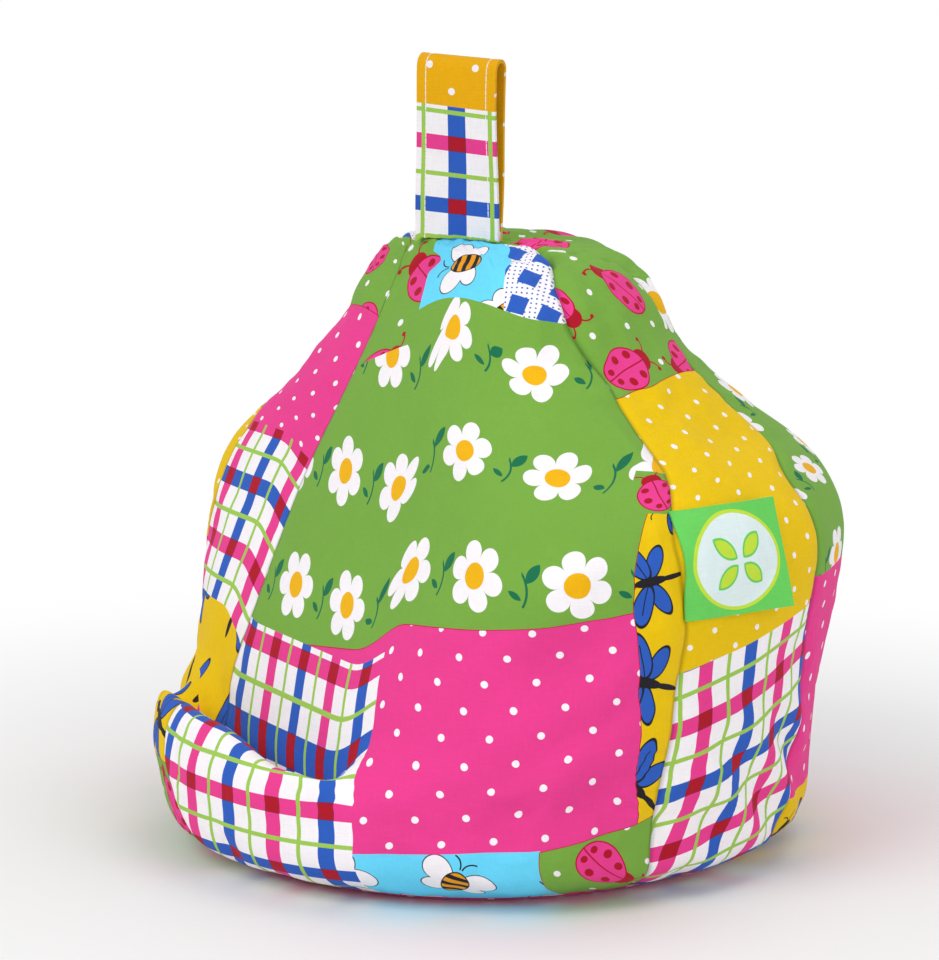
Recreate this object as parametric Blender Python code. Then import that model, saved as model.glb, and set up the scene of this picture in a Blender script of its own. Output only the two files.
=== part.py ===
"""A small bean bag that stands on a table and holds a flat device.

The bag is one sewn cover packed with beads: a round flat base, a bulging body, a face that
leans back and a groove behind a soft roll, in which the device stands. Four seams run up it
to a short seam on its crown, which holds the loop handle. A square label is sewn into one seam.
Metres, +Z up. The origin is the middle of the base on the table, and the front panel faces -Y.
"""
from math import atan2, ceil, cos, exp, hypot, pi, radians, sin, sqrt, tan

import bmesh
import bpy
from mathutils import Vector
from mathutils.bvhtree import BVHTree

# The bag's turned outline: the height and radius of each station, from the table up
FLOOR_RADIUS = 0.094
HEEL_HEIGHT, HEEL_RADIUS = 0.0125, 0.1190
FOOT_HEIGHT, FOOT_RADIUS = 0.032, 0.1235
BELLY_HEIGHT, BELLY_RADIUS = 0.078, 0.1285
BULGE_HEIGHT, BULGE_RADIUS = 0.1235, 0.1345
BROW_HEIGHT, BROW_RADIUS = 0.143, 0.1265
SHOULDER_HEIGHT, SHOULDER_RADIUS = 0.165, 0.0985
NECK_HEIGHT, NECK_RADIUS = 0.190, 0.0745
HEAD_HEIGHT, HEAD_RADIUS = 0.212, 0.0615
TEMPLE_HEIGHT, TEMPLE_RADIUS = 0.2240, 0.0465
CROWN_HEIGHT = 0.2305

# The device's bed: a face that leans back over a groove, turned to one side of the front panel
BED_TURN = radians(-34.0)
BED_TILT = radians(20.6)
GROOVE_HEIGHT = 0.037
GROOVE_BACK = 0.0913
GROOVE_WIDTH = 0.0100
GROOVE_WALL = 0.013
BED_TOP_HEIGHT = 0.207
BED_EDGE = 0.15
ROLL_FOOT_HEIGHT = 0.038
ROLL_RISE = 0.0125
ROLL_CREST = 0.0075
ROLL_CREST_END = 0.050
ROLL_FADE = 0.006
ROLL_SHARE = 0.60
FLOOR_SHARE = 0.80
GROOVE_END_HEIGHT = 0.064
PIVOT_BEHIND = 0.118

# The cover's panels and seams
FRONT_SEAM_TURN = radians(59.5)
BACK_SEAM_TURN = radians(90.5)
SEAM_DEPTH = 0.0016
SEAM_WIDTH = 0.0045
CROWN_SEAM_FORWARD = 0.004
CROWN_SEAM_HALF = 0.022
SEAM_GATHER_RADIUS = 0.058
BASE_SEAM_HEIGHT = 0.006
BASE_SEAM_WIDTH = 0.003
CROWN_LEAN = 0.0075

# Folds of the slack cloth low on the side panels, and gathers round the crown's seam
FOLD_DEPTH = 0.0024
FOLD_SPACING = 0.036
FOLD_SLANT = 0.9
FOLD_TOP = 0.085
FOLD_START = radians(11.5)
FOLD_FADE = radians(17.0)
GATHER_DEPTH = 0.0012
GATHER_COUNT = 22

# The loop handle
STRAP_WIDTH = 0.0320
STRAP_THICKNESS = 0.0014
LOOP_TOP_HEIGHT = 0.2985
LOOP_GAP = 0.0062
LOOP_FOOT_GAP = 0.0010

# The label
LABEL_WIDTH = 0.045
LABEL_DEPTH = 0.0378
LABEL_THICKNESS = 0.0009
LABEL_HEIGHT = 0.1272
LABEL_LIFT = 0.0070
LABEL_TURN = radians(58.7)
LABEL_SEAT = 0.0006

# Clearance between pieces that touch, and the fineness of the meshes
GAP = 0.0003
SEGMENTS = 96
RING_STEP = 0.0068
GROOVE_RING_STEP = 0.0021
CROWN_RING_STEP = 0.0048
POLE_RADIUS = 0.004
LABEL_STEPS = 10
STRAP_STEPS = 8
LEG_STEPS = 10
FOLD_STEPS = 8


def smoothstep(low, high, value):
    t = min(1.0, max(0.0, (value - low) / (high - low)))
    return t * t * (3.0 - 2.0 * t)


def soft_min(a, b, width):
    h = max(width - abs(a - b), 0.0) / width
    return min(a, b) - h * h * width / 4.0


def outline_stations():
    """The turned outline's stations as (height, radius), from the table to the crown."""
    return [
        (0.0, FLOOR_RADIUS),
        (HEEL_HEIGHT, HEEL_RADIUS),
        (FOOT_HEIGHT, FOOT_RADIUS),
        (BELLY_HEIGHT, BELLY_RADIUS),
        (BULGE_HEIGHT, BULGE_RADIUS),
        (BROW_HEIGHT, BROW_RADIUS),
        (SHOULDER_HEIGHT, SHOULDER_RADIUS),
        (NECK_HEIGHT, NECK_RADIUS),
        (HEAD_HEIGHT, HEAD_RADIUS),
        (TEMPLE_HEIGHT, TEMPLE_RADIUS),
        (CROWN_HEIGHT, 0.0),
    ]


def outline_curve(steps_per_metre=2000.0):
    """A smooth curve through the stations, as closely spaced (height, radius) points."""
    stations = [Vector(s) for s in outline_stations()]
    stations.insert(0, 2.0 * stations[0] - stations[1])
    stations.append(Vector((stations[-1].x, -stations[-2].y)))
    curve = []
    for before, start, end, after in zip(stations, stations[1:], stations[2:], stations[3:]):
        count = ceil((end - start).length * steps_per_metre)
        span = (end - start).length
        leave = (end - before) / ((end - start).length + (start - before).length) * span
        arrive = (after - start) / ((after - end).length + (end - start).length) * span
        for i in range(count):
            t = i / count
            curve.append((2 * t**3 - 3 * t**2 + 1) * start + (t**3 - 2 * t**2 + t) * leave
                         + (3 * t**2 - 2 * t**3) * end + (t**3 - t**2) * arrive)
    curve.append(stations[-2])
    return [(p.x, max(p.y, 0.0)) for p in curve]


def bed_depth(height):
    """How far the leaning face lies along +Y of the bed's own frame, at a height."""
    return -GROOVE_BACK + (height - GROOVE_HEIGHT) * tan(BED_TILT)


def roll_rise(x):
    """How high the roll stands over the groove: highest on the left, lower towards the right."""
    return ROLL_RISE + ROLL_CREST * (1.0 - smoothstep(0.0, ROLL_CREST_END, x))


def press_bed(x, y, height):
    """Press the leaning face, the groove and its roll into a turned point, in the bed's frame."""
    if y >= PIVOT_BEHIND - 0.001 or height <= ROLL_FOOT_HEIGHT:
        return x, y, height
    front_here = -sqrt(FOOT_RADIUS**2 - min(abs(x), FOOT_RADIUS)**2)
    room = -GROOVE_BACK - GROOVE_WIDTH - front_here if y < 0.0 else -ROLL_FADE
    roll = smoothstep(-ROLL_FADE, 2.0 * ROLL_FADE, room)
    foot = GROOVE_HEIGHT + GROOVE_WALL
    rise = (BED_TOP_HEIGHT - foot) / (BED_TOP_HEIGHT - GROOVE_END_HEIGHT)
    pressed = height
    if GROOVE_END_HEIGHT <= height < BED_TOP_HEIGHT:
        pressed += roll * (foot + (height - GROOVE_END_HEIGHT) * rise - height)
    lean = soft_min(1.0, (bed_depth(pressed) - PIVOT_BEHIND) / (y - PIVOT_BEHIND), BED_EDGE)
    if height < GROOVE_END_HEIGHT:
        share = (height - ROLL_FOOT_HEIGHT) / (GROOVE_END_HEIGHT - ROLL_FOOT_HEIGHT)
        over = min(share / ROLL_SHARE, 1.0)
        along = smoothstep(ROLL_SHARE, FLOOR_SHARE, share) if share < 1.0 else 1.0
        climb = max(share - FLOOR_SHARE, 0.0) / (1.0 - FLOOR_SHARE)
        inner = max(-GROOVE_BACK - GROOVE_WIDTH, y)
        depth = y + (inner - y) * (1.0 - cos(pi * over)) / 2.0 + along * (-GROOVE_BACK - inner)
        depth += climb * GROOVE_WALL * tan(BED_TILT)
        crest = ROLL_FOOT_HEIGHT + over * (GROOVE_HEIGHT - ROLL_FOOT_HEIGHT)
        crest += roll_rise(x) * sin(pi * over) + climb * GROOVE_WALL
        pressed += roll * (crest - height)
        slope = soft_min(1.0, (bed_depth(height) - PIVOT_BEHIND) / (y - PIVOT_BEHIND), BED_EDGE)
        slope = 1.0 + (slope - 1.0) * smoothstep(0.0, 1.0, share)
        lean = slope + roll * ((depth - PIVOT_BEHIND) / (y - PIVOT_BEHIND) - slope)
    return x * lean, PIVOT_BEHIND + (y - PIVOT_BEHIND) * lean, pressed


def seam_turns(radius):
    """The turn of the front and the back seam where the turned outline has this radius."""
    crown_turn = atan2(CROWN_SEAM_HALF, CROWN_SEAM_FORWARD)
    crown_radius = hypot(CROWN_SEAM_HALF, CROWN_SEAM_FORWARD)
    share = smoothstep(crown_radius, SEAM_GATHER_RADIUS, radius)
    front = crown_turn + (FRONT_SEAM_TURN - crown_turn) * share
    back = crown_turn + (BACK_SEAM_TURN - crown_turn) * share
    return front, back


def relief(turn, radius, height):
    """How far the cloth stands in or out of the smooth bag, at a turn from the front."""
    crown_radius = hypot(CROWN_SEAM_HALF, CROWN_SEAM_FORWARD)
    sideways = abs(atan2(sin(turn), cos(turn)))
    depth = 0.0
    if radius > crown_radius:
        for seam in seam_turns(radius):
            away = (sideways - seam) * radius
            depth -= SEAM_DEPTH * exp(-(away / SEAM_WIDTH)**2)
    elif height > HEAD_HEIGHT:
        away = radius * cos(turn) - CROWN_SEAM_FORWARD
        depth -= SEAM_DEPTH * exp(-(away / SEAM_WIDTH)**2)
    if height > HEAD_HEIGHT:
        ring = exp(-((radius - crown_radius) / (crown_radius / 2.0))**2)
        depth += GATHER_DEPTH * ring * sin(GATHER_COUNT * turn)
    slack = smoothstep(FRONT_SEAM_TURN, FRONT_SEAM_TURN + FOLD_START, sideways)
    slack *= 1.0 - smoothstep(BACK_SEAM_TURN, BACK_SEAM_TURN + FOLD_FADE, sideways)
    slack *= smoothstep(BASE_SEAM_HEIGHT, FOOT_HEIGHT, height)
    slack *= 1.0 - smoothstep(FOLD_TOP / 2.0, FOLD_TOP, height)
    along = sideways * radius + FOLD_SLANT * height
    depth += FOLD_DEPTH * slack * sin(2.0 * pi * along / FOLD_SPACING)
    depth -= SEAM_DEPTH / 2.0 * exp(-((height - BASE_SEAM_HEIGHT) / BASE_SEAM_WIDTH)**2)
    return depth


def bag_point(turn, height, radius):
    """A point of the bag's surface, from its turn, height and radius on the turned outline."""
    depth = relief(turn, radius, height) if height > 0.0 else 0.0
    flatness = smoothstep(HEAD_HEIGHT, TEMPLE_HEIGHT, height)
    standing = radius + depth * (1.0 - flatness)
    bed = turn - BED_TURN
    crown = max(0.0, 1.0 - (radius / SEAM_GATHER_RADIUS)**2)**2 if height > HEAD_HEIGHT else 0.0
    forward = -standing * cos(bed) - CROWN_LEAN * crown
    x, y, z = press_bed(standing * sin(bed), forward, height + depth * flatness)
    return Vector((x * cos(BED_TURN) - y * sin(BED_TURN), x * sin(BED_TURN) + y * cos(BED_TURN), z))


def outline_rings():
    """The outline's points that the bag is spun from, closest together over the groove."""
    curve = outline_curve()
    rings = [curve[0]]
    for height, radius in curve[1:]:
        step = RING_STEP
        if ROLL_FOOT_HEIGHT < height < GROOVE_END_HEIGHT:
            step = GROOVE_RING_STEP
        elif height > HEAD_HEIGHT:
            step = CROWN_RING_STEP
        last = rings[-1]
        if hypot(height - last[0], radius - last[1]) >= step:
            rings.append((height, radius))
    while rings[-1][1] < POLE_RADIUS:
        rings.pop()
    return rings


def new_object(name, mesh_maker, color, roughness):
    """Make a named object from a bmesh, with its own material."""
    mesh = bpy.data.meshes.new(name)
    mesh_maker.normal_update()
    mesh_maker.to_mesh(mesh)
    mesh_maker.free()
    made = bpy.data.objects.new(name, mesh)
    bpy.context.collection.objects.link(made)
    material = bpy.data.materials.new(name)
    material.use_nodes = True
    shader = material.node_tree.nodes["Principled BSDF"]
    shader.inputs["Base Color"].default_value = (*color, 1.0)
    shader.inputs["Roughness"].default_value = roughness
    shader.inputs["Metallic"].default_value = 0.0
    mesh.materials.append(material)
    mesh.shade_smooth()
    mesh.set_sharp_from_angle(angle=radians(50.0))
    return made


def make_bag():
    """Spin the outline into a closed turned body, then press and fold it into the bag."""
    bag = bmesh.new()
    rings = outline_rings()
    line = [bag.verts.new((0.0, -radius, height)) for height, radius in rings]
    edges = [bag.edges.new(pair) for pair in zip(line, line[1:])]
    bmesh.ops.spin(bag, geom=line + edges, axis=(0, 0, 1), cent=(0, 0, 0), angle=2.0 * pi,
                   steps=SEGMENTS, use_merge=True)
    bmesh.ops.remove_doubles(bag, verts=bag.verts, dist=1e-6)
    open_edges = [edge for edge in bag.edges if edge.is_boundary]
    bmesh.ops.holes_fill(bag, edges=open_edges, sides=0)
    caps = [face for face in bag.faces if len(face.verts) > 4]
    bmesh.ops.poke(bag, faces=caps)
    bmesh.ops.recalc_face_normals(bag, faces=bag.faces)
    for vert in bag.verts:
        radius = hypot(vert.co.x, vert.co.y)
        height = CROWN_HEIGHT if radius < 1e-6 and vert.co.z > FOOT_HEIGHT else vert.co.z
        vert.co = bag_point(atan2(vert.co.x, -vert.co.y), height, radius)
    bmesh.ops.triangulate(bag, faces=bag.faces)
    return bag


def outline_radius(height):
    """The turned outline's radius at a height."""
    return min(outline_curve(), key=lambda point: abs(point[0] - height))[1]


def drop_on(tree, x, y):
    """The height at which a small patch round x, y, let down from above, meets the bag."""
    reach = STRAP_WIDTH / STRAP_STEPS / 2.0
    steps = [reach * share for share in (-1.0, -0.5, 0.0, 0.5, 1.0)]
    starts = [Vector((x + over, y + along, LOOP_TOP_HEIGHT)) for over in steps for along in steps]
    return max(tree.ray_cast(start, Vector((0, 0, -1)))[0].z for start in starts)


def make_loop(bag_tree):
    """A strap folded into a narrow standing loop, its sewn foot seated on the crown's seam."""
    middle = CROWN_LEAN * sin(BED_TURN)
    centre = -CROWN_LEAN * cos(BED_TURN) - CROWN_SEAM_FORWARD
    foot = drop_on(bag_tree, middle, centre)
    rise = LOOP_TOP_HEIGHT - STRAP_THICKNESS - LOOP_GAP / 2.0 - foot
    inner = []
    for step in range(1, LEG_STEPS + 1):
        share = step / LEG_STEPS
        half = LOOP_FOOT_GAP / 2.0 + (LOOP_GAP - LOOP_FOOT_GAP) / 2.0 * sin(share * pi / 2.0)
        inner.append((half, foot + STRAP_THICKNESS * 2.0 + (rise - STRAP_THICKNESS * 2.0) * share))
    outer = [(half + STRAP_THICKNESS, height) for half, height in inner]
    for step in range(1, FOLD_STEPS):
        turn = pi / 2.0 * step / FOLD_STEPS
        top = foot + rise
        inner.append((LOOP_GAP / 2.0 * cos(turn), top + LOOP_GAP / 2.0 * sin(turn)))
        reach = LOOP_GAP / 2.0 + STRAP_THICKNESS
        outer.append((reach * cos(turn), top + reach * sin(turn)))
    inner.append((0.0, LOOP_TOP_HEIGHT - STRAP_THICKNESS))
    outer.append((0.0, LOOP_TOP_HEIGHT))
    inner.insert(0, (0.0, foot + STRAP_THICKNESS * 2.0))
    outer.insert(0, (LOOP_FOOT_GAP / 2.0 + STRAP_THICKNESS, foot))
    loop = bmesh.new()
    left = middle - STRAP_WIDTH / 2.0
    walls = []
    for points in (inner, outer):
        front = [loop.verts.new((left, centre - half, height)) for half, height in points]
        back = []
        for vert, (half, height) in zip(front, points):
            back.append(vert if half == 0.0 else loop.verts.new((left, centre + half, height)))
        walls.append((front, back))
    faces = []
    for side in (0, 1):
        inside, outside = walls[0][side], walls[1][side]
        for i in range(len(inside) - 1):
            faces.append(loop.faces.new((inside[i], inside[i + 1], outside[i + 1], outside[i])))
    faces.append(loop.faces.new((walls[0][0][0], walls[1][0][0], walls[1][1][0])))
    for step in range(STRAP_STEPS):
        grown = bmesh.ops.extrude_face_region(loop, geom=faces)["geom"]
        verts = [item for item in grown if isinstance(item, bmesh.types.BMVert)]
        bmesh.ops.translate(loop, verts=verts, vec=(STRAP_WIDTH / STRAP_STEPS, 0, 0))
        if step:
            bmesh.ops.delete(loop, geom=faces, context="FACES_ONLY")
        faces = [item for item in grown if isinstance(item, bmesh.types.BMFace)]
    bmesh.ops.recalc_face_normals(loop, faces=loop.faces)
    for vert in loop.verts:
        if vert.co.z <= foot + 1e-6:
            vert.co.z = drop_on(bag_tree, vert.co.x, vert.co.y) + GAP
    bmesh.ops.triangulate(loop, faces=loop.faces)
    return loop


def make_label(bag_tree):
    """A rectangle of cloth caught in the right front seam, its free side standing off the bag."""
    label = bmesh.new()
    bmesh.ops.create_grid(label, x_segments=LABEL_STEPS, y_segments=LABEL_STEPS, size=0.5)
    outward = {}
    for vert in label.verts:
        across = vert.co.x + 0.5
        height = LABEL_HEIGHT + vert.co.y * LABEL_DEPTH
        radius = outline_radius(height)
        turn = LABEL_TURN + across * LABEL_WIDTH / radius
        away = Vector((sin(turn), -cos(turn), 0.0))
        start = away * (BULGE_RADIUS + LABEL_WIDTH) + Vector((0.0, 0.0, height))
        cloth = bag_tree.ray_cast(start, -away)[0]
        vert.co = cloth + away * (LABEL_SEAT + LABEL_LIFT * across**2)
        outward[tuple(vert.co)] = away
    sides = bmesh.ops.extrude_face_region(label, geom=list(label.faces))["geom"]
    for vert in sides:
        if isinstance(vert, bmesh.types.BMVert):
            vert.co += outward[tuple(vert.co)] * LABEL_THICKNESS
    bmesh.ops.recalc_face_normals(label, faces=label.faces)
    bmesh.ops.triangulate(label, faces=label.faces)
    return label


def main():
    for old in list(bpy.data.objects):
        bpy.data.objects.remove(old, do_unlink=True)
    bag = make_bag()
    bag_tree = BVHTree.FromBMesh(bag)
    new_object("bean_bag", bag, (0.84, 0.12, 0.30), 0.85)
    new_object("loop_handle", make_loop(bag_tree), (0.88, 0.52, 0.03), 0.85)
    new_object("label", make_label(bag_tree), (0.18, 0.65, 0.12), 0.75)


main()
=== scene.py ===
# %% [markdown]
# # A small bean bag stand with a leaning face and a loop handle
#
# The real thing is a sewn cotton cover, packed with light beads. Its base is round and flat, its
# body bulges, and one face leans back over a groove with a soft roll in front of it. A loop
# handle stands on the crown, and a cloth label is caught in one seam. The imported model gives
# the exact place of all three, so every piece here is built in metres in that same frame.

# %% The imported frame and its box
from math import atan2, ceil, cos, exp, hypot, pi, radians, sin, sqrt, tan

import bmesh
import bpy
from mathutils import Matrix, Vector, noise
from mathutils.bvhtree import BVHTree


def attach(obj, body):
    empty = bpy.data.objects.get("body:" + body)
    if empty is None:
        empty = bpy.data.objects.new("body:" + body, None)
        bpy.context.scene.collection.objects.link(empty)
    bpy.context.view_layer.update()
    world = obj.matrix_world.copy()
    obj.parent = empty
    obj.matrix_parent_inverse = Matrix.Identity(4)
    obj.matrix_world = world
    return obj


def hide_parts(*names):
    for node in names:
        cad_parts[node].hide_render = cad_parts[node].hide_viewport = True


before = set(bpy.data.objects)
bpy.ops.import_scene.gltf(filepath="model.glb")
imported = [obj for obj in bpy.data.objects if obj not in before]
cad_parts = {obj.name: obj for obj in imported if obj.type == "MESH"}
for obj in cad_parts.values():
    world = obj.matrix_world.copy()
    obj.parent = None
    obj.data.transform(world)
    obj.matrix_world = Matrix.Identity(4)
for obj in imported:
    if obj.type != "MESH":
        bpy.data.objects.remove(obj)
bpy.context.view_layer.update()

# %% [markdown]
# ## The camera
#
# A product photograph like this one is taken from far away with a long lens, so upright lines
# stay nearly parallel. The view comes from a little above, from the right of the front panel.
# The camera is set from those two angles, a distance and a small slide, with no shift.

# %% The camera


def add_object(name, data):
    """Put a new object in the scene."""
    made = bpy.data.objects.new(name, data)
    bpy.context.collection.objects.link(made)
    return made


def add_mesh(name, mesh):
    """Put a finished bmesh in the scene, as an object at the origin."""
    data = bpy.data.meshes.new(name)
    mesh.to_mesh(data)
    mesh.free()
    return add_object(name, data)


VIEW_TURN = radians(26.6)
VIEW_RISE = radians(11.5)
VIEW_DISTANCE = 1.9005
SLIDE_RIGHT = -0.00475
SLIDE_UP = 0.13342
LENS = 187.5
CLIP_START = 0.05

look_back = Vector((sin(VIEW_TURN) * cos(VIEW_RISE), -cos(VIEW_TURN) * cos(VIEW_RISE),
                    sin(VIEW_RISE)))
look_right = Vector((cos(VIEW_TURN), sin(VIEW_TURN), 0.0))
look_up = look_back.cross(look_right)
camera = add_object("camera", bpy.data.cameras.new("camera"))
camera.location = SLIDE_RIGHT * look_right + SLIDE_UP * look_up + VIEW_DISTANCE * look_back
camera.rotation_euler = look_back.to_track_quat("Z", "Y").to_euler()
camera.data.lens = LENS
camera.data.clip_start = CLIP_START
bpy.context.scene.camera = camera
print("the camera stands", round(camera.location.length, 3), "m away")

# %% [markdown]
# ## The bag's outline
#
# Without its bed, a filled bag is nearly a turned form. A few stations of height and radius
# give that form, and a smooth curve runs through them. These values repeat the ones that the
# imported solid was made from, so that the soft cover lies where its solid lies.

# %% The turned outline
STATIONS = [(0.0, 0.094), (0.0125, 0.1190), (0.032, 0.1235), (0.078, 0.1285), (0.1235, 0.1345),
            (0.143, 0.1265), (0.165, 0.0985), (0.190, 0.0745), (0.212, 0.0615), (0.2240, 0.0465),
            (0.2305, 0.0)]
FLOOR_RADIUS = STATIONS[0][1]
FOOT_HEIGHT, FOOT_RADIUS = STATIONS[2]
HEAD_HEIGHT, TEMPLE_HEIGHT, CROWN_HEIGHT = STATIONS[8][0], STATIONS[9][0], STATIONS[10][0]


def outline_curve(steps_per_metre=2000.0):
    """A smooth curve through the stations, as closely spaced (height, radius) points."""
    stations = [Vector(s) for s in STATIONS]
    stations.insert(0, 2.0 * stations[0] - stations[1])
    stations.append(Vector((stations[-1].x, -stations[-2].y)))
    curve = []
    for before, start, end, after in zip(stations, stations[1:], stations[2:], stations[3:]):
        span = (end - start).length
        count = ceil(span * steps_per_metre)
        leave = (end - before) / (span + (start - before).length) * span
        arrive = (after - start) / ((after - end).length + span) * span
        for i in range(count):
            t = i / count
            curve.append((2 * t**3 - 3 * t**2 + 1) * start + (t**3 - 2 * t**2 + t) * leave
                         + (3 * t**2 - 2 * t**3) * end + (t**3 - t**2) * arrive)
    curve.append(stations[-2])
    return [(p.x, max(p.y, 0.0)) for p in curve]


OUTLINE = outline_curve()
print("the outline has", len(OUTLINE), "points")

# %% [markdown]
# ## The leaning face, the groove and the roll
#
# The bag's bed is a face that leans back, with a groove below it and a soft roll of cloth in
# front of the groove. A point of the turned form is pressed towards a pivot behind the bag until
# it reaches that face. Low down it is led over the roll and into the groove instead.

# %% Press the bed into a point
BED_TURN = radians(-34.0)
BED_TILT = radians(20.6)
BED_TOP_HEIGHT = 0.207
BED_EDGE = 0.15
GROOVE_HEIGHT = 0.037
GROOVE_BACK = 0.0913
GROOVE_WIDTH = 0.0100
GROOVE_WALL = 0.013
GROOVE_END_HEIGHT = 0.064
ROLL_FOOT_HEIGHT = 0.038
ROLL_RISE = 0.0125
ROLL_CREST = 0.0075
ROLL_CREST_END = 0.050
ROLL_FADE = 0.006
ROLL_SHARE = 0.60
FLOOR_SHARE = 0.80
PIVOT_BEHIND = 0.118


def smoothstep(low, high, value):
    t = min(1.0, max(0.0, (value - low) / (high - low)))
    return t * t * (3.0 - 2.0 * t)


def soft_min(a, b, width):
    h = max(width - abs(a - b), 0.0) / width
    return min(a, b) - h * h * width / 4.0


def bed_depth(height):
    """How far the leaning face lies along +Y of the bed's own frame, at a height."""
    return -GROOVE_BACK + (height - GROOVE_HEIGHT) * tan(BED_TILT)


def roll_rise(x):
    """How high the roll stands over the groove: highest on the left, lower towards the right."""
    return ROLL_RISE + ROLL_CREST * (1.0 - smoothstep(0.0, ROLL_CREST_END, x))


def press_bed(x, y, height):
    """Press the leaning face, the groove and its roll into a turned point, in the bed's frame."""
    if y >= PIVOT_BEHIND - 0.001 or height <= ROLL_FOOT_HEIGHT:
        return x, y, height
    front_here = -sqrt(FOOT_RADIUS**2 - min(abs(x), FOOT_RADIUS)**2)
    room = -GROOVE_BACK - GROOVE_WIDTH - front_here if y < 0.0 else -ROLL_FADE
    roll = smoothstep(-ROLL_FADE, 2.0 * ROLL_FADE, room)
    foot = GROOVE_HEIGHT + GROOVE_WALL
    rise = (BED_TOP_HEIGHT - foot) / (BED_TOP_HEIGHT - GROOVE_END_HEIGHT)
    pressed = height
    if GROOVE_END_HEIGHT <= height < BED_TOP_HEIGHT:
        pressed += roll * (foot + (height - GROOVE_END_HEIGHT) * rise - height)
    lean = soft_min(1.0, (bed_depth(pressed) - PIVOT_BEHIND) / (y - PIVOT_BEHIND), BED_EDGE)
    if height < GROOVE_END_HEIGHT:
        share = (height - ROLL_FOOT_HEIGHT) / (GROOVE_END_HEIGHT - ROLL_FOOT_HEIGHT)
        over = min(share / ROLL_SHARE, 1.0)
        along = smoothstep(ROLL_SHARE, FLOOR_SHARE, share) if share < 1.0 else 1.0
        climb = max(share - FLOOR_SHARE, 0.0) / (1.0 - FLOOR_SHARE)
        inner = max(-GROOVE_BACK - GROOVE_WIDTH, y)
        depth = y + (inner - y) * (1.0 - cos(pi * over)) / 2.0 + along * (-GROOVE_BACK - inner)
        depth += climb * GROOVE_WALL * tan(BED_TILT)
        crest = ROLL_FOOT_HEIGHT + over * (GROOVE_HEIGHT - ROLL_FOOT_HEIGHT)
        crest += roll_rise(x) * sin(pi * over) + climb * GROOVE_WALL
        pressed += roll * (crest - height)
        slope = soft_min(1.0, (bed_depth(height) - PIVOT_BEHIND) / (y - PIVOT_BEHIND), BED_EDGE)
        slope = 1.0 + (slope - 1.0) * smoothstep(0.0, 1.0, share)
        lean = slope + roll * ((depth - PIVOT_BEHIND) / (y - PIVOT_BEHIND) - slope)
    return x * lean, PIVOT_BEHIND + (y - PIVOT_BEHIND) * lean, pressed


print("the face leans back", round(90 - BED_TILT * 180 / pi, 1), "degrees from flat")

# %% [markdown]
# ## Seams, puckers, folds and creases
#
# Four long seams run up the cover to a short seam on its crown. The cloth dips into a seam, and
# the thread draws it up into small puckers beside it. Low on the sides the slack cloth falls in
# slanting folds, and the whole cover has soft dents where the beads have settled. All of these
# are only a few millimetres deep, so they are added as one depth, along the form's own radius.

# %% The cloth's own relief
RIGHT_SEAM_PATH = ((0.0, 57.5), (0.050, 56.5), (0.091, 58.5), (0.117, 59.5), (0.151, 58.0),
                   (0.188, 63.0), (0.221, 62.0), (0.251, 55.0), (0.330, 55.0))
LEFT_SEAM_PATH = ((0.0, 34.0), (0.0286, 37.0), (0.0465, 43.5), (0.057, 48.0), (0.095, 59.5),
                  (0.330, 59.5))
BACK_SEAM_PATH = ((0.0, 91.0), (0.033, 92.5), (0.058, 96.0), (0.081, 96.0), (0.129, 91.5),
                  (0.163, 93.0), (0.190, 103.0), (0.220, 102.0), (0.246, 108.0), (0.330, 108.0))
SEAM_DEPTH = 0.0009
SEAM_WIDTH = 0.0045
STITCH_DEPTH = 0.0011
STITCH_WIDTH = 0.0010
PUCKER_DEPTH = 0.0006
PUCKER_SPACING = 0.0085
PUCKER_REACH = 0.010
PUCKER_WANDER, PUCKER_PATCH = 1.0 / 60.0, 0.040
OTHER_SIDE = 7.0
CROWN_PULL = 1.2
CROWN_PULL_START, CROWN_PULL_END = 0.200, 0.260
CROWN_SEAM_FORWARD = 0.004
CROWN_SEAM_HALF = 0.022
CROWN_RADIUS = hypot(CROWN_SEAM_HALF, CROWN_SEAM_FORWARD)
SEAM_GATHER_RADIUS = 0.058
BASE_SEAM_HEIGHT = 0.0028
BASE_SEAM_WIDTH = 0.003
CROWN_LEAN = 0.0075
FOLD_DEPTH = 0.0024
FOLD_SPACING = 0.036
FOLD_SLANT = 0.9
FOLD_TOP = 0.085
FOLD_TURNS = (radians(59.5), radians(71.0), radians(90.5), radians(107.5))
GATHER_DEPTH = 0.0005
GATHER_COUNT = 22
DENT_DEPTH = 0.0034
DENT_SIZE = 0.045
CREASE_DEPTH = 0.0016
CREASE_SIZE, CREASE_PATCH = 0.016, 0.060
DRAG_DEPTH = 0.0050
DRAG_SIZE, DRAG_LENGTH, DRAG_SLANT = 0.016, 0.10, radians(27.0)
DRAG_TURNS = (radians(-8.0), radians(12.0), radians(40.0), radians(58.0))
DRAG_WAYS = (0.040, 0.070, 0.120, 0.190)
HANG_DEPTH = 0.0030
HANG_SIZE, HANG_LENGTH, HANG_RADIUS = 0.014, 0.12, 0.085
HANG_WAYS = (0.150, 0.215, 0.280, 0.305)
SWELL_ROOM = 0.0014
SWELL_ROOM_REACH = 0.013


def between(bounds, value):
    """1 between the two middle bounds, fading to 0 at the outer two."""
    rise_start, rise_end, fall_start, fall_end = bounds
    risen = smoothstep(rise_start, rise_end, value)
    return risen * (1.0 - smoothstep(fall_start, fall_end, value))


def along_path(path, arc):
    """The value of a path of (way up, value) points at a way up the cloth."""
    for (low, start), (high, end) in zip(path, path[1:]):
        if arc <= high:
            return start + (end - start) * smoothstep(low, high, arc)
    return path[-1][1]


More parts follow.
